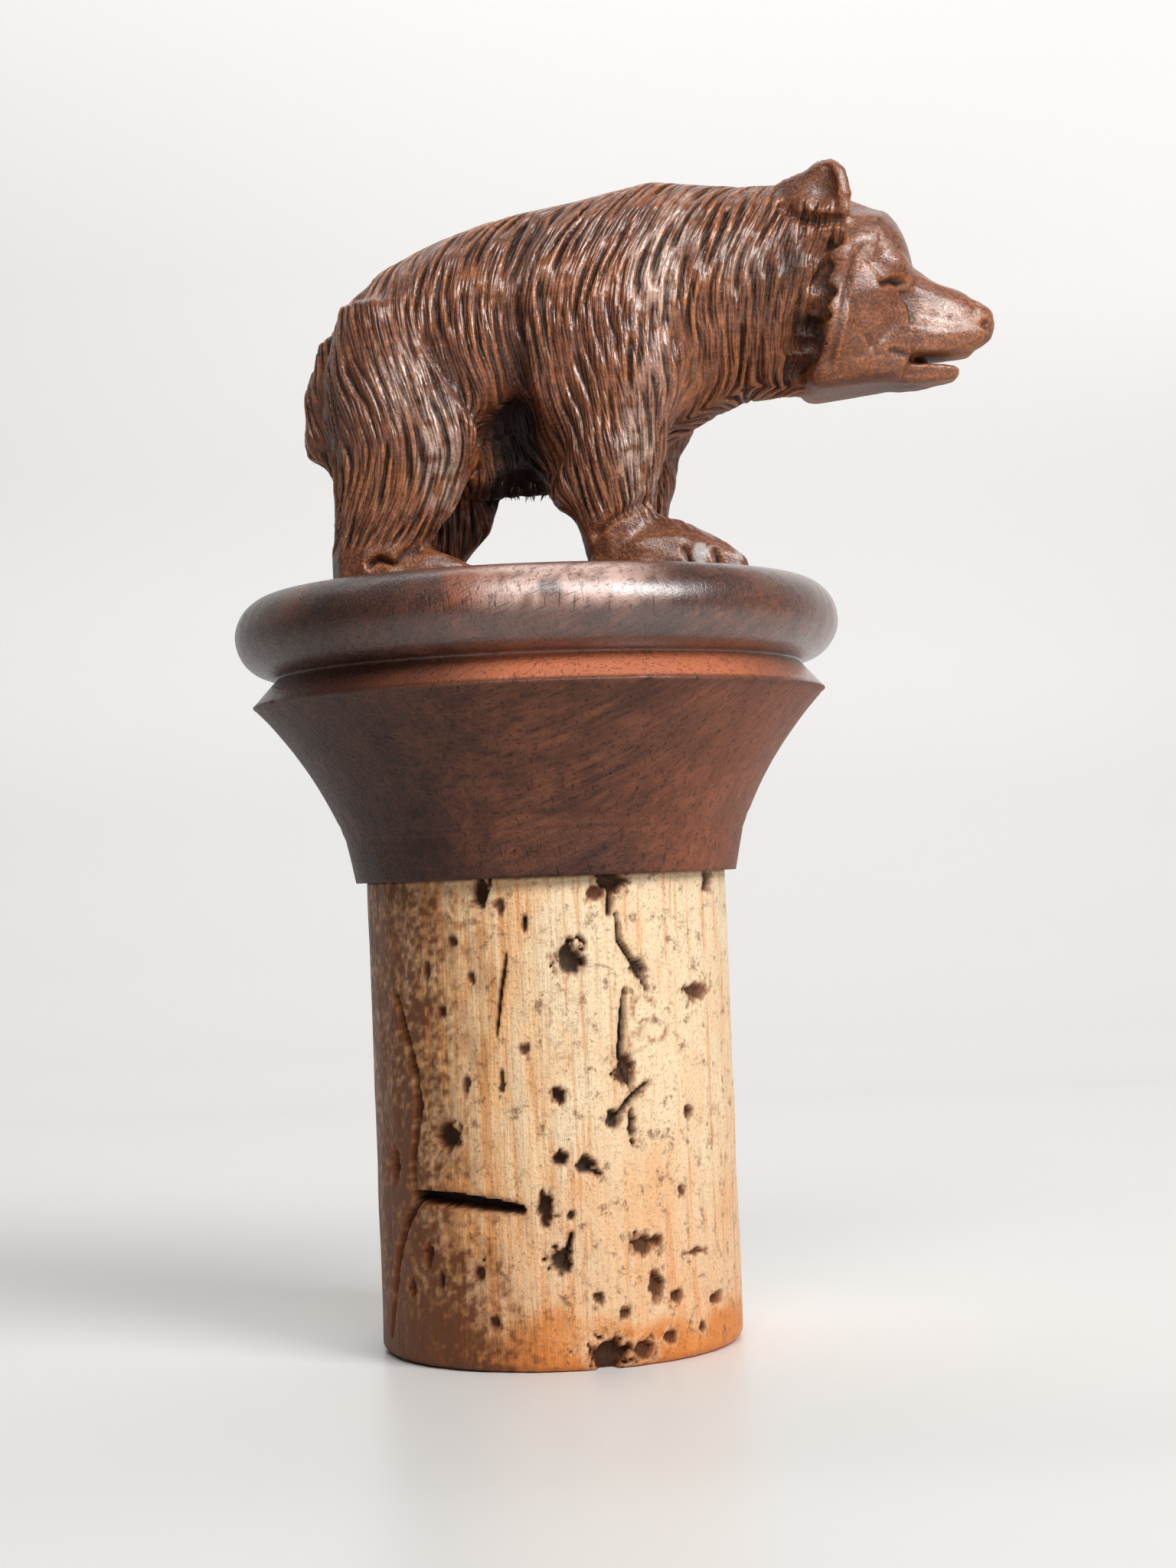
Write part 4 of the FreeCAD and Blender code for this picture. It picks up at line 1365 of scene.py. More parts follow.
            # Painted shade in the hollow of the press
            painted_shade = np.maximum(painted_shade, press.darkening * within)
        flank = smooth_step(0.15, 0.6, np.abs(normals[:, 1]))
        for cut in CUTS:
            far, share = route_distance(cut.route, places[:, (0, 2)])
            wide = np.where(far > 0.0, cut.left, cut.right)
            ends = np.clip(np.minimum(share, 1.0 - share) * 12.0, 0.0, 1.0)
            depth = np.exp(-((far / wide) ** 2)) * ends * flank
            change -= cut.deep * depth
            # Painted shade in the crease of the cut
            painted_shade = np.maximum(painted_shade, cut.darkening * depth)
        return places + normals * change[:, None], np.clip(painted_shade, 0.0, 1.0)

    def splinter(self, mesh: bpy.types.Mesh) -> None:
        """Add torn fibres under the belly, dark with painted shade, to the finished mesh in metres.

        Args:
            mesh: mesh of the bear.
        """
        bm = bmesh.new()
        bm.from_mesh(mesh)
        hollow = bm.verts.layers.float["hollow"]
        chance = np.random.default_rng(self.splinter_seed)
        for _ in range(self.splinters):
            length = chance.uniform(0.25, 0.55)
            place = Vector((chance.uniform(-2.0, 1.2), chance.uniform(-3.0, 2.0), self.belly))
            place.z += 0.35 * max(0.0, -place.x - 1.0)
            tilt = Euler((math.pi + chance.uniform(-0.3, 0.3), chance.uniform(-0.4, 0.4), 0.0))
            made = bmesh.ops.create_cone(
                bm,
                cap_ends=True,
                segments=5,
                radius1=chance.uniform(0.04, 0.08) * MM,
                radius2=0.008 * MM,
                depth=length * MM,
                matrix=Matrix.Translation(place * MM) @ tilt.to_matrix().to_4x4(),
            )
            for vert in made["verts"]:
                # The fibres take painted shade, as they hang under the belly
                vert[hollow] = 0.9
        bm.to_mesh(mesh)
        bm.free()

    def lump(self, bm: bmesh.types.BMesh, corners: list[Triple]) -> None:
        """Add a convex lump with these corners to a mesh.

        Args:
            bm: the mesh.
            corners: places that the lump spans.
        """
        points = [bm.verts.new(corner) for corner in corners]
        made = bmesh.ops.convex_hull(bm, input=points)
        inner = [item for item in made["geom_interior"] if isinstance(item, bmesh.types.BMVert)]
        bmesh.ops.delete(bm, geom=inner, context="VERTS")

    def lens(self, places: Points, way: int) -> Points:
        """Swell the near side and shrink the far one, or undo that with way -1.

        Args:
            places: vertex places.
            way: 1 to swell the near side, -1 to undo it.

        Returns:
            The new places.
        """
        gain = (1.0 - self.near_gain * places[:, 1]) ** way
        moved = places.copy()
        for axis, middle in ((0, self.pivot[0]), (2, self.pivot[1])):
            moved[:, axis] = middle + (places[:, axis] - middle) * gain
        return moved

    def coat_mask(self, places: Points) -> np.ndarray:
        """1 where the knife drew hair, and 0 on the face, the ears and the paws.

        Args:
            places: vertex places.

        Returns:
            One share for each vertex.
        """
        along, _, height = places.T
        edge = np.array(CHEEK_EDGE[::-1])
        face = smooth_step(-0.5, 0.0, along - np.interp(height, edge[:, 1], edge[:, 0]))
        ears = smooth_step(61.6, 62.4, height) * smooth_step(13.6, 14.8, along)
        low = height + 0.2 * np.clip(along - 5.0, 0.0, 3.0) + 1.2 * smooth_step(0.0, -4.0, along)
        paws = smooth_step(45.6, 44.4, low)
        return np.clip(1.0 - np.maximum(np.maximum(face, ears), paws), 0.0, 1.0)

    def painted_highlight(self, places: Points) -> np.ndarray:
        """How much painted highlight, as paler wood, lies on each place.

        Args:
            places: vertex places.

        Returns:
            One share for each vertex.
        """
        found = np.zeros(len(places))
        for along, height, wide, tall, amount in PAINTED_HIGHLIGHTS:
            far = ((places[:, 0] - along) / wide) ** 2 + ((places[:, 2] - height) / tall) ** 2
            found = np.maximum(found, amount * np.clip(1.0 - far, 0.0, 1.0))
        return found * smooth_step(-0.3, 0.3, ripple(places, 1.7, 30.0) + 0.15)

    def claws(self, places: Points) -> np.ndarray:
        """1 on the pale claws of the near fore paw, worn and with a painted highlight.

        Args:
            places: vertex places.

        Returns:
            One share for each vertex.
        """
        found = np.zeros(len(places))
        for place, reach in CLAWS:
            far = (((places - np.array(place)) / np.array(reach)) ** 2).sum(axis=1)
            found = np.maximum(found, smooth_step(1.1, 0.7, far))
        return found

    def strands(
        self, places: Points, normals: Points, pairs: np.ndarray
    ) -> tuple[np.ndarray, np.ndarray]:
        """Lengths across and along the hair at each vertex.

        Args:
            places: vertex places.
            normals: vertex normals.
            pairs: vertex pairs of the edges and the diagonals.

        Returns:
            Length across and length along, for each vertex.
        """
        marks = np.array(COAT_LEAN, dtype=float)
        apart = (places[:, None, 0] - marks[:, 0]) ** 2 + (places[:, None, 2] - marks[:, 1]) ** 2
        pull = np.exp(-apart / (2.0 * self.lean_reach**2)) + 1e-9
        lean = np.radians((pull * marks[:, 2]).sum(axis=1) / pull.sum(axis=1))
        side = np.where(places[:, 1] < 0.0, -1.0, 1.0)
        way = np.stack([np.sin(lean), 0.5 * side, -np.cos(lean)], axis=1)
        way -= normals * (way * normals).sum(axis=1, keepdims=True)
        way /= np.maximum(np.linalg.norm(way, axis=1, keepdims=True), 0.05)
        over = np.cross(normals, way)
        over *= np.where(over[:, :1] < 0.0, -1.0, 1.0)
        heads, tails = pairs.T
        steps = places[tails] - places[heads]
        lengths = np.maximum(np.linalg.norm(steps, axis=1), 1e-6)
        fields = []
        for wish, strict in ((over, way), (way, over)):
            rise = ((wish[heads] + wish[tails]) * 0.5 * steps).sum(axis=1)
            aligned = ((strict[heads] + strict[tails]) * 0.5 * steps).sum(axis=1) / lengths
            weight = 0.3 + aligned**4
            fields.append(level_out(pairs, rise, len(places), self.field_rounds, weight))
        return fields[0], fields[1]

    def ridges(self, places: Points, edges: np.ndarray, normals: Points) -> np.ndarray:
        """How sharply each vertex stands out, for paler ridges from wear and painted highlight."""
        proud = -((neighbour_mean(places, edges) - places) * normals).sum(axis=1)
        return smooth_step(0.004, 0.03, proud)

    def lay_uv(self, mesh: bpy.types.Mesh, strand: tuple[np.ndarray, np.ndarray]) -> None:
        """Store the strand lengths as the UV map that the strokes follow.

        Args:
            mesh: mesh of the bear.
            strand: lengths across and along the hair.
        """
        corners = np.empty(len(mesh.loops), dtype=np.int32)
        mesh.loops.foreach_get("vertex_index", corners)
        layer = mesh.uv_layers.new(name="strand")
        pairs = np.stack([strand[0][corners], strand[1][corners]], axis=1)
        layer.uv.foreach_set("vector", pairs.astype(np.float32).ravel())


# The cap


@dataclass
class TurnedCap:
    """The turned cap on its spigot. Lengths are in mm, heights above the cork."""

    spigot: Pair = (4.0, 15.0)
    collar: float = 10.55
    band: Pair = (11.05, 2.35)
    cove: float = 22.0
    rim: Pair = (15.9, 9.85)
    rim_round: float = 0.14
    groove: Pair = (14.5, 11.4)
    bead: float = 2.25
    turned_lines: Triple = (2.45, 2.9, 3.15)
    worn_lines: Triple = (2.35, 2.75, 3.05)
    step: float = 0.22
    steps_round: int = 360

    def build(self) -> bpy.types.Object:
        """Turn the mesh, wear it, dress it and link it.

        Returns:
            The cap.
        """
        mesh = turned(self.profile(), self.steps_round)
        places = points_of(mesh)
        places = self.wear(places)
        places[:, 2] += CORK_TOP
        put_points(mesh, places)
        turn = np.arctan2(places[:, 0], -places[:, 1])
        height = places[:, 2] - CORK_TOP
        attach(mesh, "shine", self.shine(height))
        attach(mesh, "worn", self.worn(height))
        attach(mesh, "red_and_painted_light", self.red_and_painted_light(places, np.degrees(turn), height))
        attach(mesh, "painted_bead_highlight", self.painted_bead_highlight(places, np.degrees(turn), height))
        attach(mesh, "painted_side_shade", self.painted_side_shade(turn))
        put_points(mesh, places * MM)
        mesh.materials.append(PolishedCap().material())
        return piece_of("turned_cap_dressed", mesh, "turned_cap")

    def profile(self) -> list[Pair]:
        """Radius and height of the profile's points from the spigot to the top.

        Returns:
            Radius and height of each point.
        """
        radius, deep = self.spigot
        points = stretch((0.0, -deep), (radius, -deep), 2.0)
        points += stretch((radius, -deep), (radius, 0.0), 2.0)
        points += stretch((radius, 0.0), (self.collar, 0.0), 1.0)
        points += stretch((self.collar, 0.0), self.band, self.step)
        points += self.cove_points()
        inset = self.rim_round * 0.7
        points += [
            (self.rim[0] - inset * 0.1, self.rim[1] - inset * 0.5),
            self.rim,
            (self.rim[0] - inset * 0.3, self.rim[1] + inset * 0.5),
        ]
        points += stretch((self.rim[0] - inset, self.rim[1] + inset), self.groove, self.step)
        middle = (self.groove[0], self.groove[1] + self.bead)
        points += bow(middle, self.bead, -math.pi / 2.0, math.pi / 2.0, self.step)
        top = self.groove[1] + 2.0 * self.bead
        points += stretch((self.groove[0], top), (0.0, top), 0.8)
        return points + [(0.0, top)]

    def cove_points(self) -> list[Pair]:
        """Points of the hollow between the band and the rim.

        Returns:
            Radius and height of each point.
        """
        start, end = Vector(self.band), Vector(self.rim)
        chord = end - start
        rise = math.sqrt(self.cove**2 - (chord.length / 2.0) ** 2)
        across = Vector((chord.y, -chord.x)).normalized()
        centre = (start + end) / 2.0 + across * rise
        first = math.atan2(start.y - centre.y, start.x - centre.x) % math.tau
        last = math.atan2(end.y - centre.y, end.x - centre.x) % math.tau
        return bow(tuple(centre), self.cove, first, last, self.step)

    def wear(self, places: Points) -> Points:
        """Fine turning lines on the cove and small dents along the rim.

        Args:
            places: vertex places, above the cork.

        Returns:
            The new places.
        """
        radius = np.hypot(places[:, 0], places[:, 1])
        outward = places * np.array([1.0, 1.0, 0.0]) / np.maximum(radius, 0.1)[:, None]
        height = places[:, 2]
        on_side = smooth_step(9.0, 10.0, radius) * smooth_step(16.0, 15.5, height)
        lump = ripple(places * np.array([1.0, 1.0, 0.6]), 0.9) * 0.03
        lines = sum(
            -0.035 * np.exp(-(((height - line) / 0.09) ** 2)) for line in self.turned_lines
        )
        nick = np.clip(ripple(places, 1.3, 40.0) - 0.35, 0.0, 1.0) * 0.35
        rim = np.exp(-(((height - self.rim[1]) / 0.3) ** 2))
        change = on_side * (lump - 0.03 + lines - nick * rim)
        return places + outward * change[:, None]

    def shine(self, height: np.ndarray) -> np.ndarray:
        """1 on the chamfer and the bead, where the polish is thick."""
        return smooth_step(self.rim[1] - 0.05, self.rim[1] + 0.15, height)

    def red_and_painted_light(self, places: Points, turn: np.ndarray, height: np.ndarray) -> np.ndarray:
        """Red of the chamfer and of patches of the bead, with painted light on the lit side of the
        chamfer and of the cove.

        Args:
            places: vertex places.
            turn: their turn from the near side, in degrees.
            height: their height above the cork.

        Returns:
            One share for each vertex.
        """
        chamfer = smooth_step(self.rim[1] + 0.05, self.rim[1] + 0.25, height)
        chamfer = chamfer * smooth_step(self.groove[1] + 0.1, self.groove[1] - 0.15, height)
        # Painted highlight on the lit side of the chamfer
        lit = smooth_step(-25.0, 0.0, turn) * smooth_step(70.0, 35.0, turn)
        chamfer = chamfer * (0.25 + 0.75 * lit)
        middle = self.groove[1] + self.bead
        patch = smooth_step(-0.05, 0.35, ripple(places * np.array([1.0, 1.0, 0.5]), 0.33, 7.0))
        patch = patch * smooth_step(middle - 0.3, middle + 0.6, height)
        patch = patch * smooth_step(-75.0, -45.0, turn) * smooth_step(5.0, -15.0, turn)
        # Painted light on the lit side of the cove
        cove = smooth_step(10.0, 60.0, turn) * smooth_step(150.0, 100.0, turn)
        cove = cove * smooth_step(self.rim[1], self.rim[1] - 0.3, height)
        return np.clip(chamfer * 0.9 + patch * 0.45 + cove * 0.2, 0.0, 1.0)

    def painted_bead_highlight(self, places: Points, turn: np.ndarray, height: np.ndarray) -> np.ndarray:
        """Painted highlight, a dull white, on the front of the bead.

        Args:
            places: vertex places.
            turn: their turn from the near side, in degrees.
            height: their height above the cork.

        Returns:
            One share for each vertex.
        """
        over = height - self.groove[1] - self.bead
        patch = smooth_step(-14.0, -2.0, turn) * smooth_step(28.0, 14.0, turn)
        patch = patch * smooth_step(-0.6, 0.5, over) * smooth_step(2.25, 1.9, over)
        cloud = ripple(places * np.array([1.0, 1.0, 0.4]), 1.9, 3.0)
        return 0.85 * patch * smooth_step(-0.8, 0.2, cloud)

    def painted_side_shade(self, turn: np.ndarray) -> np.ndarray:
        """Painted shade, dark and dull, on the bear's rear side of the cap, by turn in radians."""
        return 0.65 * smooth_step(-0.05, -0.75, turn) * smooth_step(-2.6, -1.6, turn)

    def worn(self, height: np.ndarray) -> np.ndarray:
        """Wear along the rim and the turned lines.

        Args:
            height: heights above the cork.

        Returns:
            One share for each vertex.
        """
        rim = np.exp(-(((height - self.rim[1]) / 0.12) ** 2))
        lines = sum(np.exp(-(((height - line) / 0.1) ** 2)) for line in self.worn_lines)
        return np.clip(rim * 0.8 + lines * 0.5, 0.0, 1.0)


# The cork


@dataclass(frozen=True)
class Pit:
    """Pit of the bark. Turn in degrees, lengths in mm."""

    turn: float
    height: float
    wide: float
    tall: float
    deep: float = 0.55
    rust: float = 0.3
    ragged: float = 0.35


@dataclass(frozen=True)
class Crack:
    """Crack of the bark along a route of turns and heights, in degrees and mm."""

    route: Route
    gape: float
    deep: float = 0.5


@dataclass(frozen=True)
class Ring:
    """Brown outline in the bark. Turn in degrees, lengths in mm."""

    turn: float
    height: float
    wide: float
    tall: float
    thick: float
    dark: float


PITS = (
    Pit(6.7, 21.4, 0.71, 0.90, 0.7), Pit(-34.7, 12.3, 0.72, 0.85, 0.6),
    Pit(2.1, 14.3, 0.44, 0.44), Pit(1.9, 11.0, 0.45, 0.40, 0.6),
    Pit(9.1, 10.6, 0.45, 0.41, 0.6), Pit(-3.4, 8.5, 0.42, 0.84, 0.6),
    Pit(4.3, 8.1, 0.22, 0.24, 0.3), Pit(0.9, 5.8, 0.55, 0.72, 0.6),
    Pit(18.6, 12.9, 0.45, 0.50, 0.6), Pit(24.5, 12.6, 0.2, 0.9, 0.5),
    Pit(31.1, 6.45, 0.38, 0.32, 0.4, 0.9), Pit(31.1, 4.1, 0.42, 0.80, 0.5, 0.8),
    Pit(27.0, 6.3, 0.7, 0.5, 0.4, 0.7), Pit(38.4, 3.4, 0.36, 0.28, 0.4, 0.9),
    Pit(57.0, 2.9, 0.59, 0.32, 0.4, 0.9), Pit(52.5, 19.3, 0.99, 0.40, 0.4, 0.8),
    Pit(46.6, 13.0, 0.40, 0.32, 0.4, 0.7), Pit(29.1, 20.7, 0.4, 0.5, 0.5, 0.5),
    Pit(22.8, 15.5, 0.55, 0.92, 0.6, 0.6), Pit(-19.9, 25.0, 0.45, 0.9, 0.5, 0.2),
    Pit(21.2, 25.35, 0.86, 0.60, 0.6, 0.6), Pit(16.0, 24.8, 0.5, 0.4, 0.3, 0.9),
    Pit(61.9, 25.2, 0.5, 0.7, 0.5, 0.4), Pit(14.8, 0.7, 1.04, 0.90, 0.7, 0.3),
    Pit(25.8, 0.9, 0.7, 0.5, 0.4, 0.6), Pit(-38.6, 4.7, 0.18, 0.5, 0.3),
    Pit(-24.6, 5.2, 0.35, 0.45, 0.3, 0.6), Pit(-60.0, 10.5, 0.5, 0.9, 0.4, 0.7),
    Pit(-30, 22.5, 0.3, 0.35, 0.25, 0.6), Pit(-24, 20.6, 0.22, 0.3, 0.2, 0.6),
    Pit(-40, 21.0, 0.25, 0.4, 0.3, 0.6), Pit(-14, 24.3, 0.3, 0.3, 0.2, 0.7),
    Pit(-35, 18.8, 0.3, 0.35, 0.3, 0.8), Pit(-8, 16.8, 0.22, 0.3, 0.2, 0.8),
    Pit(-27, 14.9, 0.2, 0.5, 0.2, 0.5), Pit(-15, 15.2, 0.15, 0.6, 0.2, 0.4),
    Pit(-44, 6.0, 0.3, 0.6, 0.35, 0.7), Pit(-52, 4.2, 0.3, 0.5, 0.3, 0.6),
    Pit(12, 3.8, 0.25, 0.3, 0.3, 0.8), Pit(42, 9.0, 0.2, 0.25, 0.2, 0.9),
    Pit(48, 5.6, 0.8, 0.16, 0.25, 0.8), Pit(20, 2.9, 0.3, 0.3, 0.3, 0.8),
    Pit(-20, 2.6, 0.3, 0.3, 0.3, 0.7), Pit(35, 1.4, 0.4, 0.3, 0.3, 0.9),
    Pit(49, 1.6, 0.3, 0.3, 0.3, 0.8), Pit(118, 16.5, 0.6, 0.8), Pit(150, 7.2, 0.5, 0.9),
    Pit(176, 20.1, 0.7, 0.6), Pit(-160, 12.0, 0.5, 0.7), Pit(-124, 5.5, 0.6, 0.6),
    Pit(-105, 18.4, 0.5, 0.9),
)

RINGS = (
    Ring(4.1, 17.9, 0.85, 2.1, 0.16, 0.4), Ring(6.0, 17.2, 0.4, 0.8, 0.3, 0.3),
    Ring(30.0, 18.6, 0.8, 0.7, 0.2, 0.9), Ring(34.0, 17.4, 0.8, 0.6, 0.22, 0.9),
    Ring(27.0, 16.9, 0.5, 0.5, 0.3, 0.8), Ring(31.0, 19.9, 0.5, 0.4, 0.3, 0.7),
    Ring(-38.0, 17.2, 0.5, 0.8, 0.3, 0.6), Ring(-27.0, 24.0, 0.4, 0.8, 0.3, 0.8),
    Ring(-20.0, 22.6, 0.4, 0.5, 0.3, 0.5), Ring(-32.0, 25.0, 0.5, 0.4, 0.3, 0.5),
    Ring(61.0, 12.3, 0.6, 0.9, 0.3, 0.5), Ring(10.0, 4.8, 0.9, 1.4, 0.15, 0.3),
)

CRACKS = (
    Crack(
        (
            (-55.5, 19.6), (-53.6, 18.8), (-50, 17.2), (-46.7, 15.6), (-45.4, 13.9),
            (-47.5, 12.3), (-49.5, 10.7), (-49.2, 9.0),
        ),
        0.22, 0.6,
    ),
    Crack(
        ((-46.8, 8.9), (-53.0, 7.8), (-57.4, 6.6), (-61.2, 5.1), (-63.9, 3.5), (-67.9, 1.4)),
        0.26, 0.7,
    ),
    Crack(((-48.5, 9.1), (-43.0, 9.05), (-29.8, 8.9), (-18.0, 8.65), (-10.8, 8.45)), 0.36, 1.1),
    Crack(((-6.2, 23.7), (-6.4, 22.9)), 0.12, 0.4),
    Crack(((-12.1, 21.8), (-14.4, 19.8), (-16, 17.6)), 0.1, 0.3),
    Crack(((18.6, 12.9), (24.0, 13.9), (30.3, 14.7)), 0.16, 0.5),
    Crack(((22.0, 23.6), (22.5, 22.3), (26.0, 21.3), (29.1, 20.7), (31.5, 19.6)), 0.14, 0.5),
    Crack(((23.5, 19.6), (22.5, 18.0), (21.5, 16.3), (24.5, 14.6)), 0.16, 0.5),
    Crack(((9.1, 10.6), (14.5, 10.1)), 0.12, 0.4),
    Crack(((2.0, 5.6), (4.6, 7.2)), 0.14, 0.4),
    Crack(((20.2, 25.0), (19.6, 23.6)), 0.16, 0.4),
    Crack(((140, 22.5), (146, 17.0), (141, 12.5)), 0.2, 0.5),
    Crack(((-140, 9.0), (-132, 3.2)), 0.2, 0.5),
)


@dataclass
class BarkMarks:
    """What the marks leave at each vertex: a depth in mm, and shares of colours."""

    deep: np.ndarray
    pit: np.ndarray
    rust: np.ndarray
    pale: np.ndarray

    def add(self, **found: np.ndarray) -> None:
        """Keep the larger of what is there and what is found."""
        for name, values in found.items():
            setattr(self, name, np.maximum(getattr(self, name), values))


@dataclass
class NaturalCorkPlug:
    """The cork with its pits and cracks. Lengths are in mm."""

    radius: float = 10.0
    bore: Pair = (4.05, 10.7)
    foot_round: float = 0.6
    step: float = 0.16
    steps_round: int = 420
    near_gain: float = 0.32

    def build(self) -> bpy.types.Object:
        """Turn the plug, mark it, dress it and link it.

        Returns:
            The cork.
        """
        mesh = turned(self.profile(), self.steps_round)
        places = points_of(mesh)
        turn = np.arctan2(places[:, 0], -places[:, 1])
        reach = np.hypot(places[:, 0], places[:, 1])
        turn -= self.near_gain * np.sin(turn)
        self.mark(mesh, turn, reach, places[:, 2])
        mesh.materials.append(NaturalCork().material())
        return piece_of("cork_dressed", mesh, "cork")

    def profile(self) -> list[Pair]:
        """Radius and height of the profile's points from the foot to the bore.

        Returns:
            Radius and height of each point.
        """
        bore, floor = self.bore
        low = self.foot_round
        points = stretch((0.0, 0.0), (self.radius - low, 0.0), 0.5)
        points += bow((self.radius - low, low), low, -math.pi / 2.0, 0.0, self.step)
        points += stretch((self.radius, low), (self.radius, CORK_TOP), self.step)
        points += stretch((self.radius, CORK_TOP), (bore, CORK_TOP), 1.5)
        points += stretch((bore, CORK_TOP), (bore, floor), 3.0)
        points += stretch((bore, floor), (0.0, floor), 2.0)
        return points + [(0.0, floor)]

    def mark(
        self, mesh: bpy.types.Mesh, turn: np.ndarray, reach: np.ndarray, height: np.ndarray
    ) -> None:
        """Press the pits and cracks in and store what colours them, with painted shade on the left
        and painted light on the front and the right.

        Args:
            mesh: mesh of the plug.
            turn: turn of each vertex from the near side towards the nose.
            reach: its distance from the axis.
            height: its height.
        """
        outside = smooth_step(self.radius - 1.2, self.radius - 0.2, reach)
        skin = np.stack([np.sin(turn) * self.radius, -np.cos(turn) * self.radius, height], axis=1)
        ragged = ripple(skin, 2.3) * 0.6 + ripple(skin, 5.0, 9.0) * 0.4
        marks = BarkMarks(*np.zeros((4, len(turn))))
        for draw in (self.open_pits, self.open_cracks, self.draw_rings):
            draw(marks, np.degrees(turn), height, ragged)
        lumps = ripple(skin * np.array([1.0, 1.0, 0.25]), 1.1, 20.0) * 0.07
        reach = reach + outside * (lumps - 0.08 - marks.deep)
        places = np.stack([reach * np.sin(turn), -reach * np.cos(turn), height], axis=1)
        put_points(mesh, places * MM)
        foot = smooth_step(4.6, 0.8, height + ripple(skin, 0.5, 3.0) * 1.8)
        foot = np.maximum(foot, 0.3 * smooth_step(15.0, 4.0, height + ripple(skin, 0.3, 5.0) * 4.0))
        # Painted shade on the left, reaching further round near the foot
        left = smooth_step(0.3, 0.95, 0.3 * smooth_step(9.0, 1.0, height) - turn + 0.3 * ragged)
        behind = smooth_step(-1.9, -2.8, turn)
        clouds = smooth_step(0.0, 0.5, ripple(skin, 0.6, 11.0)) * smooth_step(0.1, -0.5, turn)
        # Painted shade on the left, broken by mottling, with brown clouds there; none at the back
        darkening = (1.0 - behind) * (left * (0.9 + 0.3 * foot + 0.9 * ragged) + 0.25 * clouds)
        blots = smooth_step(0.15, 0.5, ragged) * foot
        # Paler on the front, the right and the back; on the front and the right it is painted light
        pale_and_painted_light = np.maximum(smooth_step(-0.7, 0.3, turn), behind) * (1.0 - foot)
        for name, values in {
            "pit": marks.pit * outside,
            "rust": marks.rust * outside + 0.6 * blots,
            "pale": marks.pale,
            "foot": foot,
            "pale_and_painted_light": pale_and_painted_light,
            "darkening": darkening,
        }.items():
            attach(mesh, name, np.clip(values, 0.0, 1.0))

    def around(self, mark: Pit | Ring, degrees: np.ndarray, height: np.ndarray) -> np.ndarray:
        """Distance of each vertex from a mark's middle, 1 being on its outline."""
        across = ((degrees - mark.turn + 180.0) % 360.0 - 180.0) * math.radians(self.radius)
        return np.hypot(across / mark.wide, (height - mark.height) / mark.tall)

    def open_pits(
        self, marks: BarkMarks, degrees: np.ndarray, height: np.ndarray, ragged: np.ndarray
    ) -> None:
        """Add the pits with their rusty edges and pale surrounds.

        Args:
            marks: what is found so far.
            degrees: turn of each vertex.
            height: its height.
            ragged: noise that roughens the outlines.
        """
        for pit in PITS:
            far = self.around(pit, degrees, height) * (1.0 + pit.ragged * ragged * 2.6)
            marks.add(
                deep=smooth_step(1.08, 0.72, far) * pit.deep,
                pit=smooth_step(1.0, 0.78, far) * (1.0 - pit.rust * 0.35),
                rust=smooth_step(1.45, 0.9, far) * (0.35 + 0.6 * pit.rust),
                pale=smooth_step(1.7, 1.2, far) * smooth_step(0.9, 1.1, far) * 0.5,
            )

    def open_cracks(
        self, marks: BarkMarks, degrees: np.ndarray, height: np.ndarray, ragged: np.ndarray
    ) -> None:
        """Add the cracks, widest in the middle of their routes.

        Args:
            marks: what is found so far.
            degrees: turn of each vertex.
            height: its height.
            ragged: noise that roughens the outlines.
        """
        for crack in CRACKS:
            first = crack.route[0][0]
            near = (degrees - first + 180.0) % 360.0 - 180.0 + first
            route = tuple((math.radians(bend) * self.radius, z) for bend, z in crack.route)
            flat = np.stack([np.radians(near) * self.radius, height], axis=1)
            far, share = route_distance(route, flat)
            gape = crack.gape * (0.45 + 0.55 * np.sin(np.pi * np.clip(share, 0.04, 0.96)) ** 0.5)
            far = np.abs(far) / (gape * (1.0 + 0.5 * ragged))
            inside = smooth_step(1.25, 0.6, far)
            marks.add(deep=inside * crack.deep, pit=inside, rust=smooth_step(3.0, 1.2, far) * 0.35)

    def draw_rings(
        self, marks: BarkMarks, degrees: np.ndarray, height: np.ndarray, ragged: np.ndarray
    ) -> None:
        """Add the brown outlines, broken here and there.

        Args:
            marks: what is found so far.
            degrees: turn of each vertex.
            height: its height.
            ragged: noise that roughens the outlines.
        """
        for ring in RINGS:
            far = self.around(ring, degrees, height) * (1.0 + 0.8 * ragged)
            line = np.exp(-(((far - 1.0) / ring.thick) ** 2))
            marks.add(rust=line * ring.dark * smooth_step(-0.3, 0.3, ragged))


# The studio


MIDDLE = (0.0, 0.0, 40.0)


@dataclass(frozen=True)
class Lamp:
    """Area lamp. Angles in degrees, lengths in mm, power in watts.

    Turn is its place to the right of the camera and rise its height, both seen
    from the middle of the object. Aim is the place that it points at.
    """

    name: str
    turn: float
    rise: float
    away: float
    size: Pair
    power: float
    aim: Triple = MIDDLE

    def build(self) -> None:
        """Add the lamp to the scene."""
        data = bpy.data.lights.new(self.name, "AREA")
        data.shape = "RECTANGLE"
        data.size, data.size_y = self.size[0] * MM, self.size[1] * MM
        data.energy = self.power
        lamp = linked(self.name, data)
        angle, tilt = math.radians(self.turn), math.radians(self.rise)
        way = Vector(
            (math.sin(angle) * math.cos(tilt), -math.cos(angle) * math.cos(tilt), math.sin(tilt))
        )
        lamp.location = Vector(MIDDLE) * MM + way * self.away * MM
        look = Vector(self.aim) * MM - lamp.location
        lamp.rotation_euler = look.to_track_quat("-Z", "Y").to_euler()


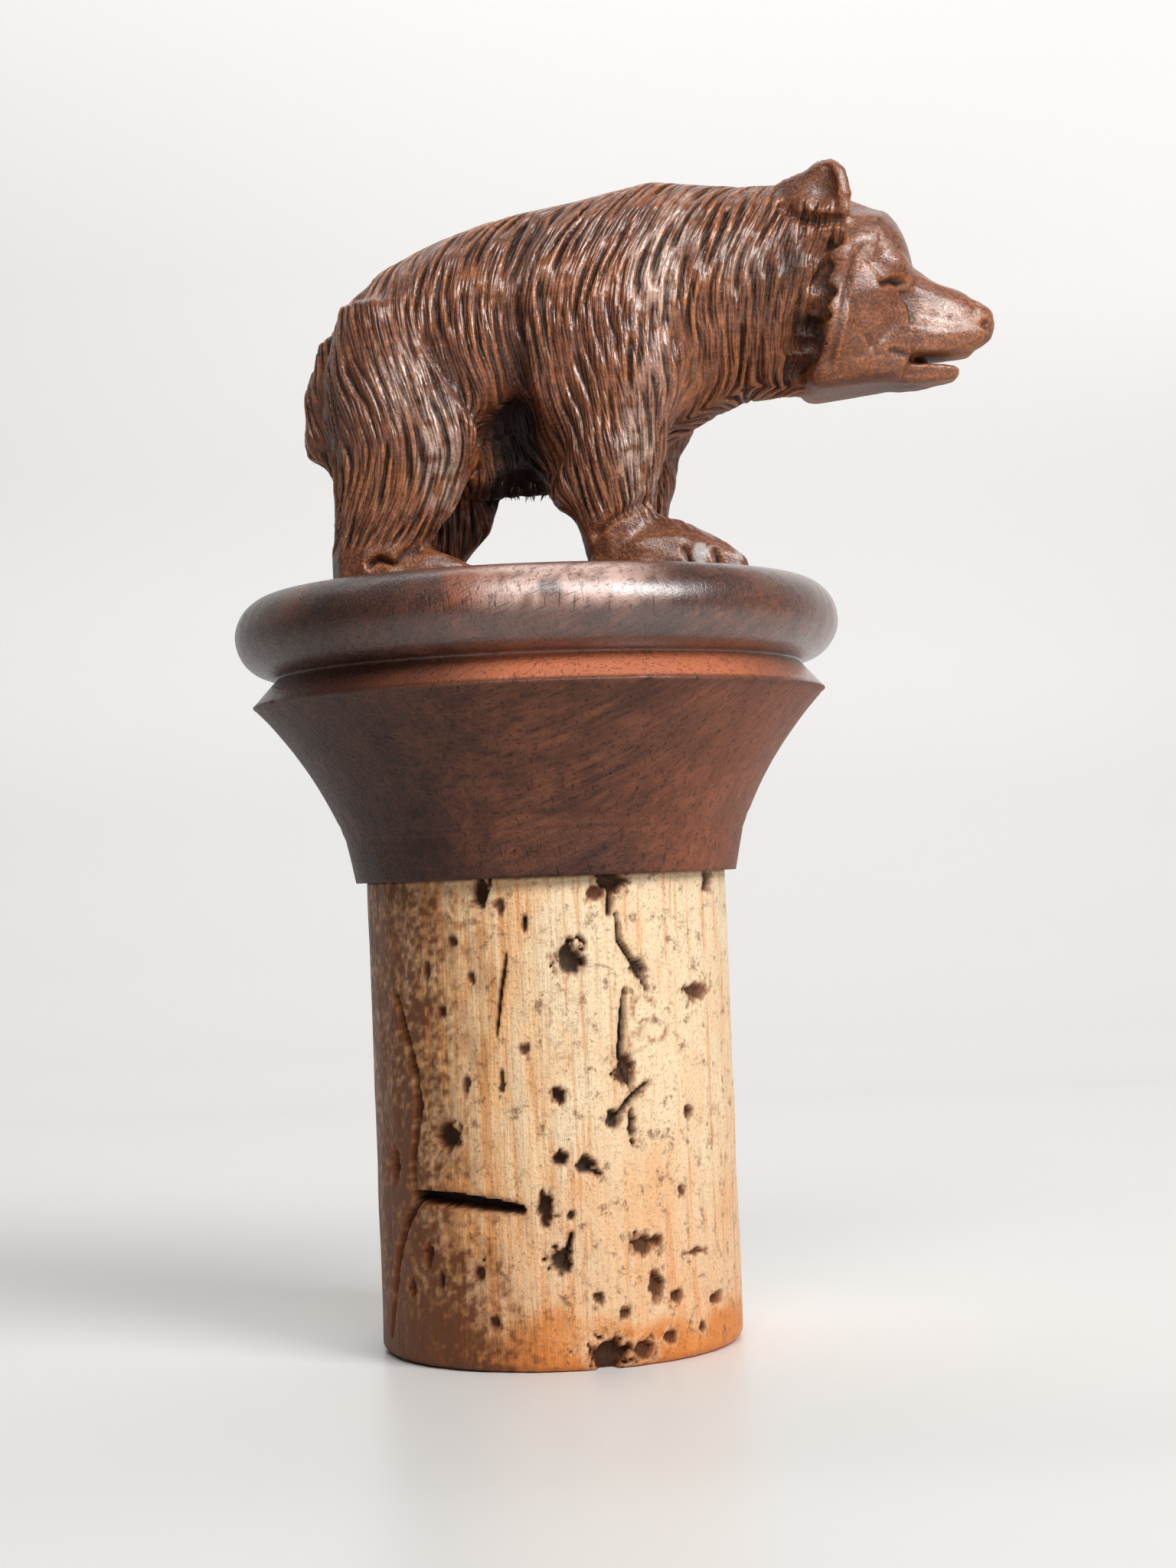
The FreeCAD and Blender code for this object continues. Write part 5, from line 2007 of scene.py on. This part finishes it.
LAMPS = (
    Lamp("window", 46.0, 33.0, 480.0, (200.0, 190.0), 1.7),
    Lamp("skylight", 8.0, 46.0, 420.0, (270.0, 150.0), 0.7),
    Lamp("wall wash", 200.0, 62.0, 330.0, (420.0, 120.0), 0.5, (-70.0, 330.0, 60.0)),
)


@dataclass
class Studio:
    """Table, backdrop, lamps and camera. Lengths are in mm."""

    table_depth: float = 271.0
    table_front: float = 900.0
    half_width: float = 1500.0
    wall_top: float = 1200.0
    round_off: float = 120.0
    round_steps: int = 6
    table_colour: Colour = (0.80, 0.79, 0.775, 1.0)
    table_rough: float = 0.32
    table_gloss: float = 0.25
    room_colour: Colour = (0.97, 0.98, 1.0, 1.0)
    room_light: float = 0.07
    camera_place: Triple = (2.42, -153.7, 26.0)
    camera_pitch: float = 1.77
    camera_yaw: float = -0.035
    camera_roll: float = -2.2
    lens: float = 63.4

    def build(self) -> None:
        """Set up everything that isn't the object."""
        self.table()
        for lamp in LAMPS:
            lamp.build()
        self.room()
        self.camera()
        bpy.context.scene.view_settings.view_transform = "Standard"

    def table(self) -> None:
        """Pale table that turns up into a pale wall."""
        bm = bmesh.new()
        bend = self.table_depth - self.round_off
        outline = [(-self.table_front, 0.0), (bend, 0.0)]
        for step in range(1, self.round_steps + 1):
            angle = math.radians(90.0 * step / self.round_steps)
            rise = self.round_off * (1.0 - math.cos(angle))
            outline.append((bend + self.round_off * math.sin(angle), rise))
        outline.append((self.table_depth, self.wall_top))
        points = [bm.verts.new((-self.half_width * MM, y * MM, z * MM)) for y, z in outline]
        lines = [bm.edges.new(pair) for pair in zip(points[:-1], points[1:])]
        made = bmesh.ops.extrude_edge_only(bm, edges=lines)["geom"]
        moved = [item for item in made if isinstance(item, bmesh.types.BMVert)]
        bmesh.ops.translate(bm, verts=moved, vec=(2.0 * self.half_width * MM, 0.0, 0.0))
        for face in bm.faces:
            if face.normal.z - face.normal.y < 0.0:
                face.normal_flip()
            face.smooth = True
        table = linked("table", mesh_from(bm, "table"))
        material = bpy.data.materials.new("pale table")
        material.use_nodes = True
        shader = material.node_tree.nodes["Principled BSDF"]
        shader.inputs["Base Color"].default_value = self.table_colour
        shader.inputs["Roughness"].default_value = self.table_rough
        shader.inputs["Specular IOR Level"].default_value = self.table_gloss
        table.data.materials.append(material)

    def room(self) -> None:
        """Dim, pale world around the table."""
        world = bpy.data.worlds.new("room")
        world.use_nodes = True
        background = world.node_tree.nodes["Background"]
        background.inputs["Color"].default_value = self.room_colour
        background.inputs["Strength"].default_value = self.room_light
        bpy.context.scene.world = world

    def camera(self) -> None:
        """Camera at the photo's angle."""
        data = bpy.data.cameras.new("camera")
        data.lens = self.lens
        data.clip_start, data.clip_end = 0.005, 10.0
        camera = linked("camera", data)
        look = Euler((math.radians(90.0 + self.camera_pitch), 0.0, math.radians(self.camera_yaw)))
        roll = Matrix.Rotation(math.radians(self.camera_roll), 4, "Z")
        place = Matrix.Translation(Vector(self.camera_place) * MM)
        camera.matrix_world = place @ look.to_matrix().to_4x4() @ roll
        bpy.context.scene.camera = camera


def main() -> None:
    """Build every piece in order and report it."""
    logging.basicConfig(level=logging.INFO, format="%(name)s %(relativeCreated)d: %(message)s")
    Studio().build()
    for maker in (TurnedCap(), NaturalCorkPlug(), CarvedBear()):
        piece = maker.build()
        LOG.info("%s has %d faces", piece.name, len(piece.data.polygons))
    dowel = PlainDowel().material()
    for name in ("fore_peg", "hind_peg"):
        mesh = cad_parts[name].data
        mesh.materials.clear()
        mesh.materials.append(dowel)


if __name__ == "__main__":
    main()
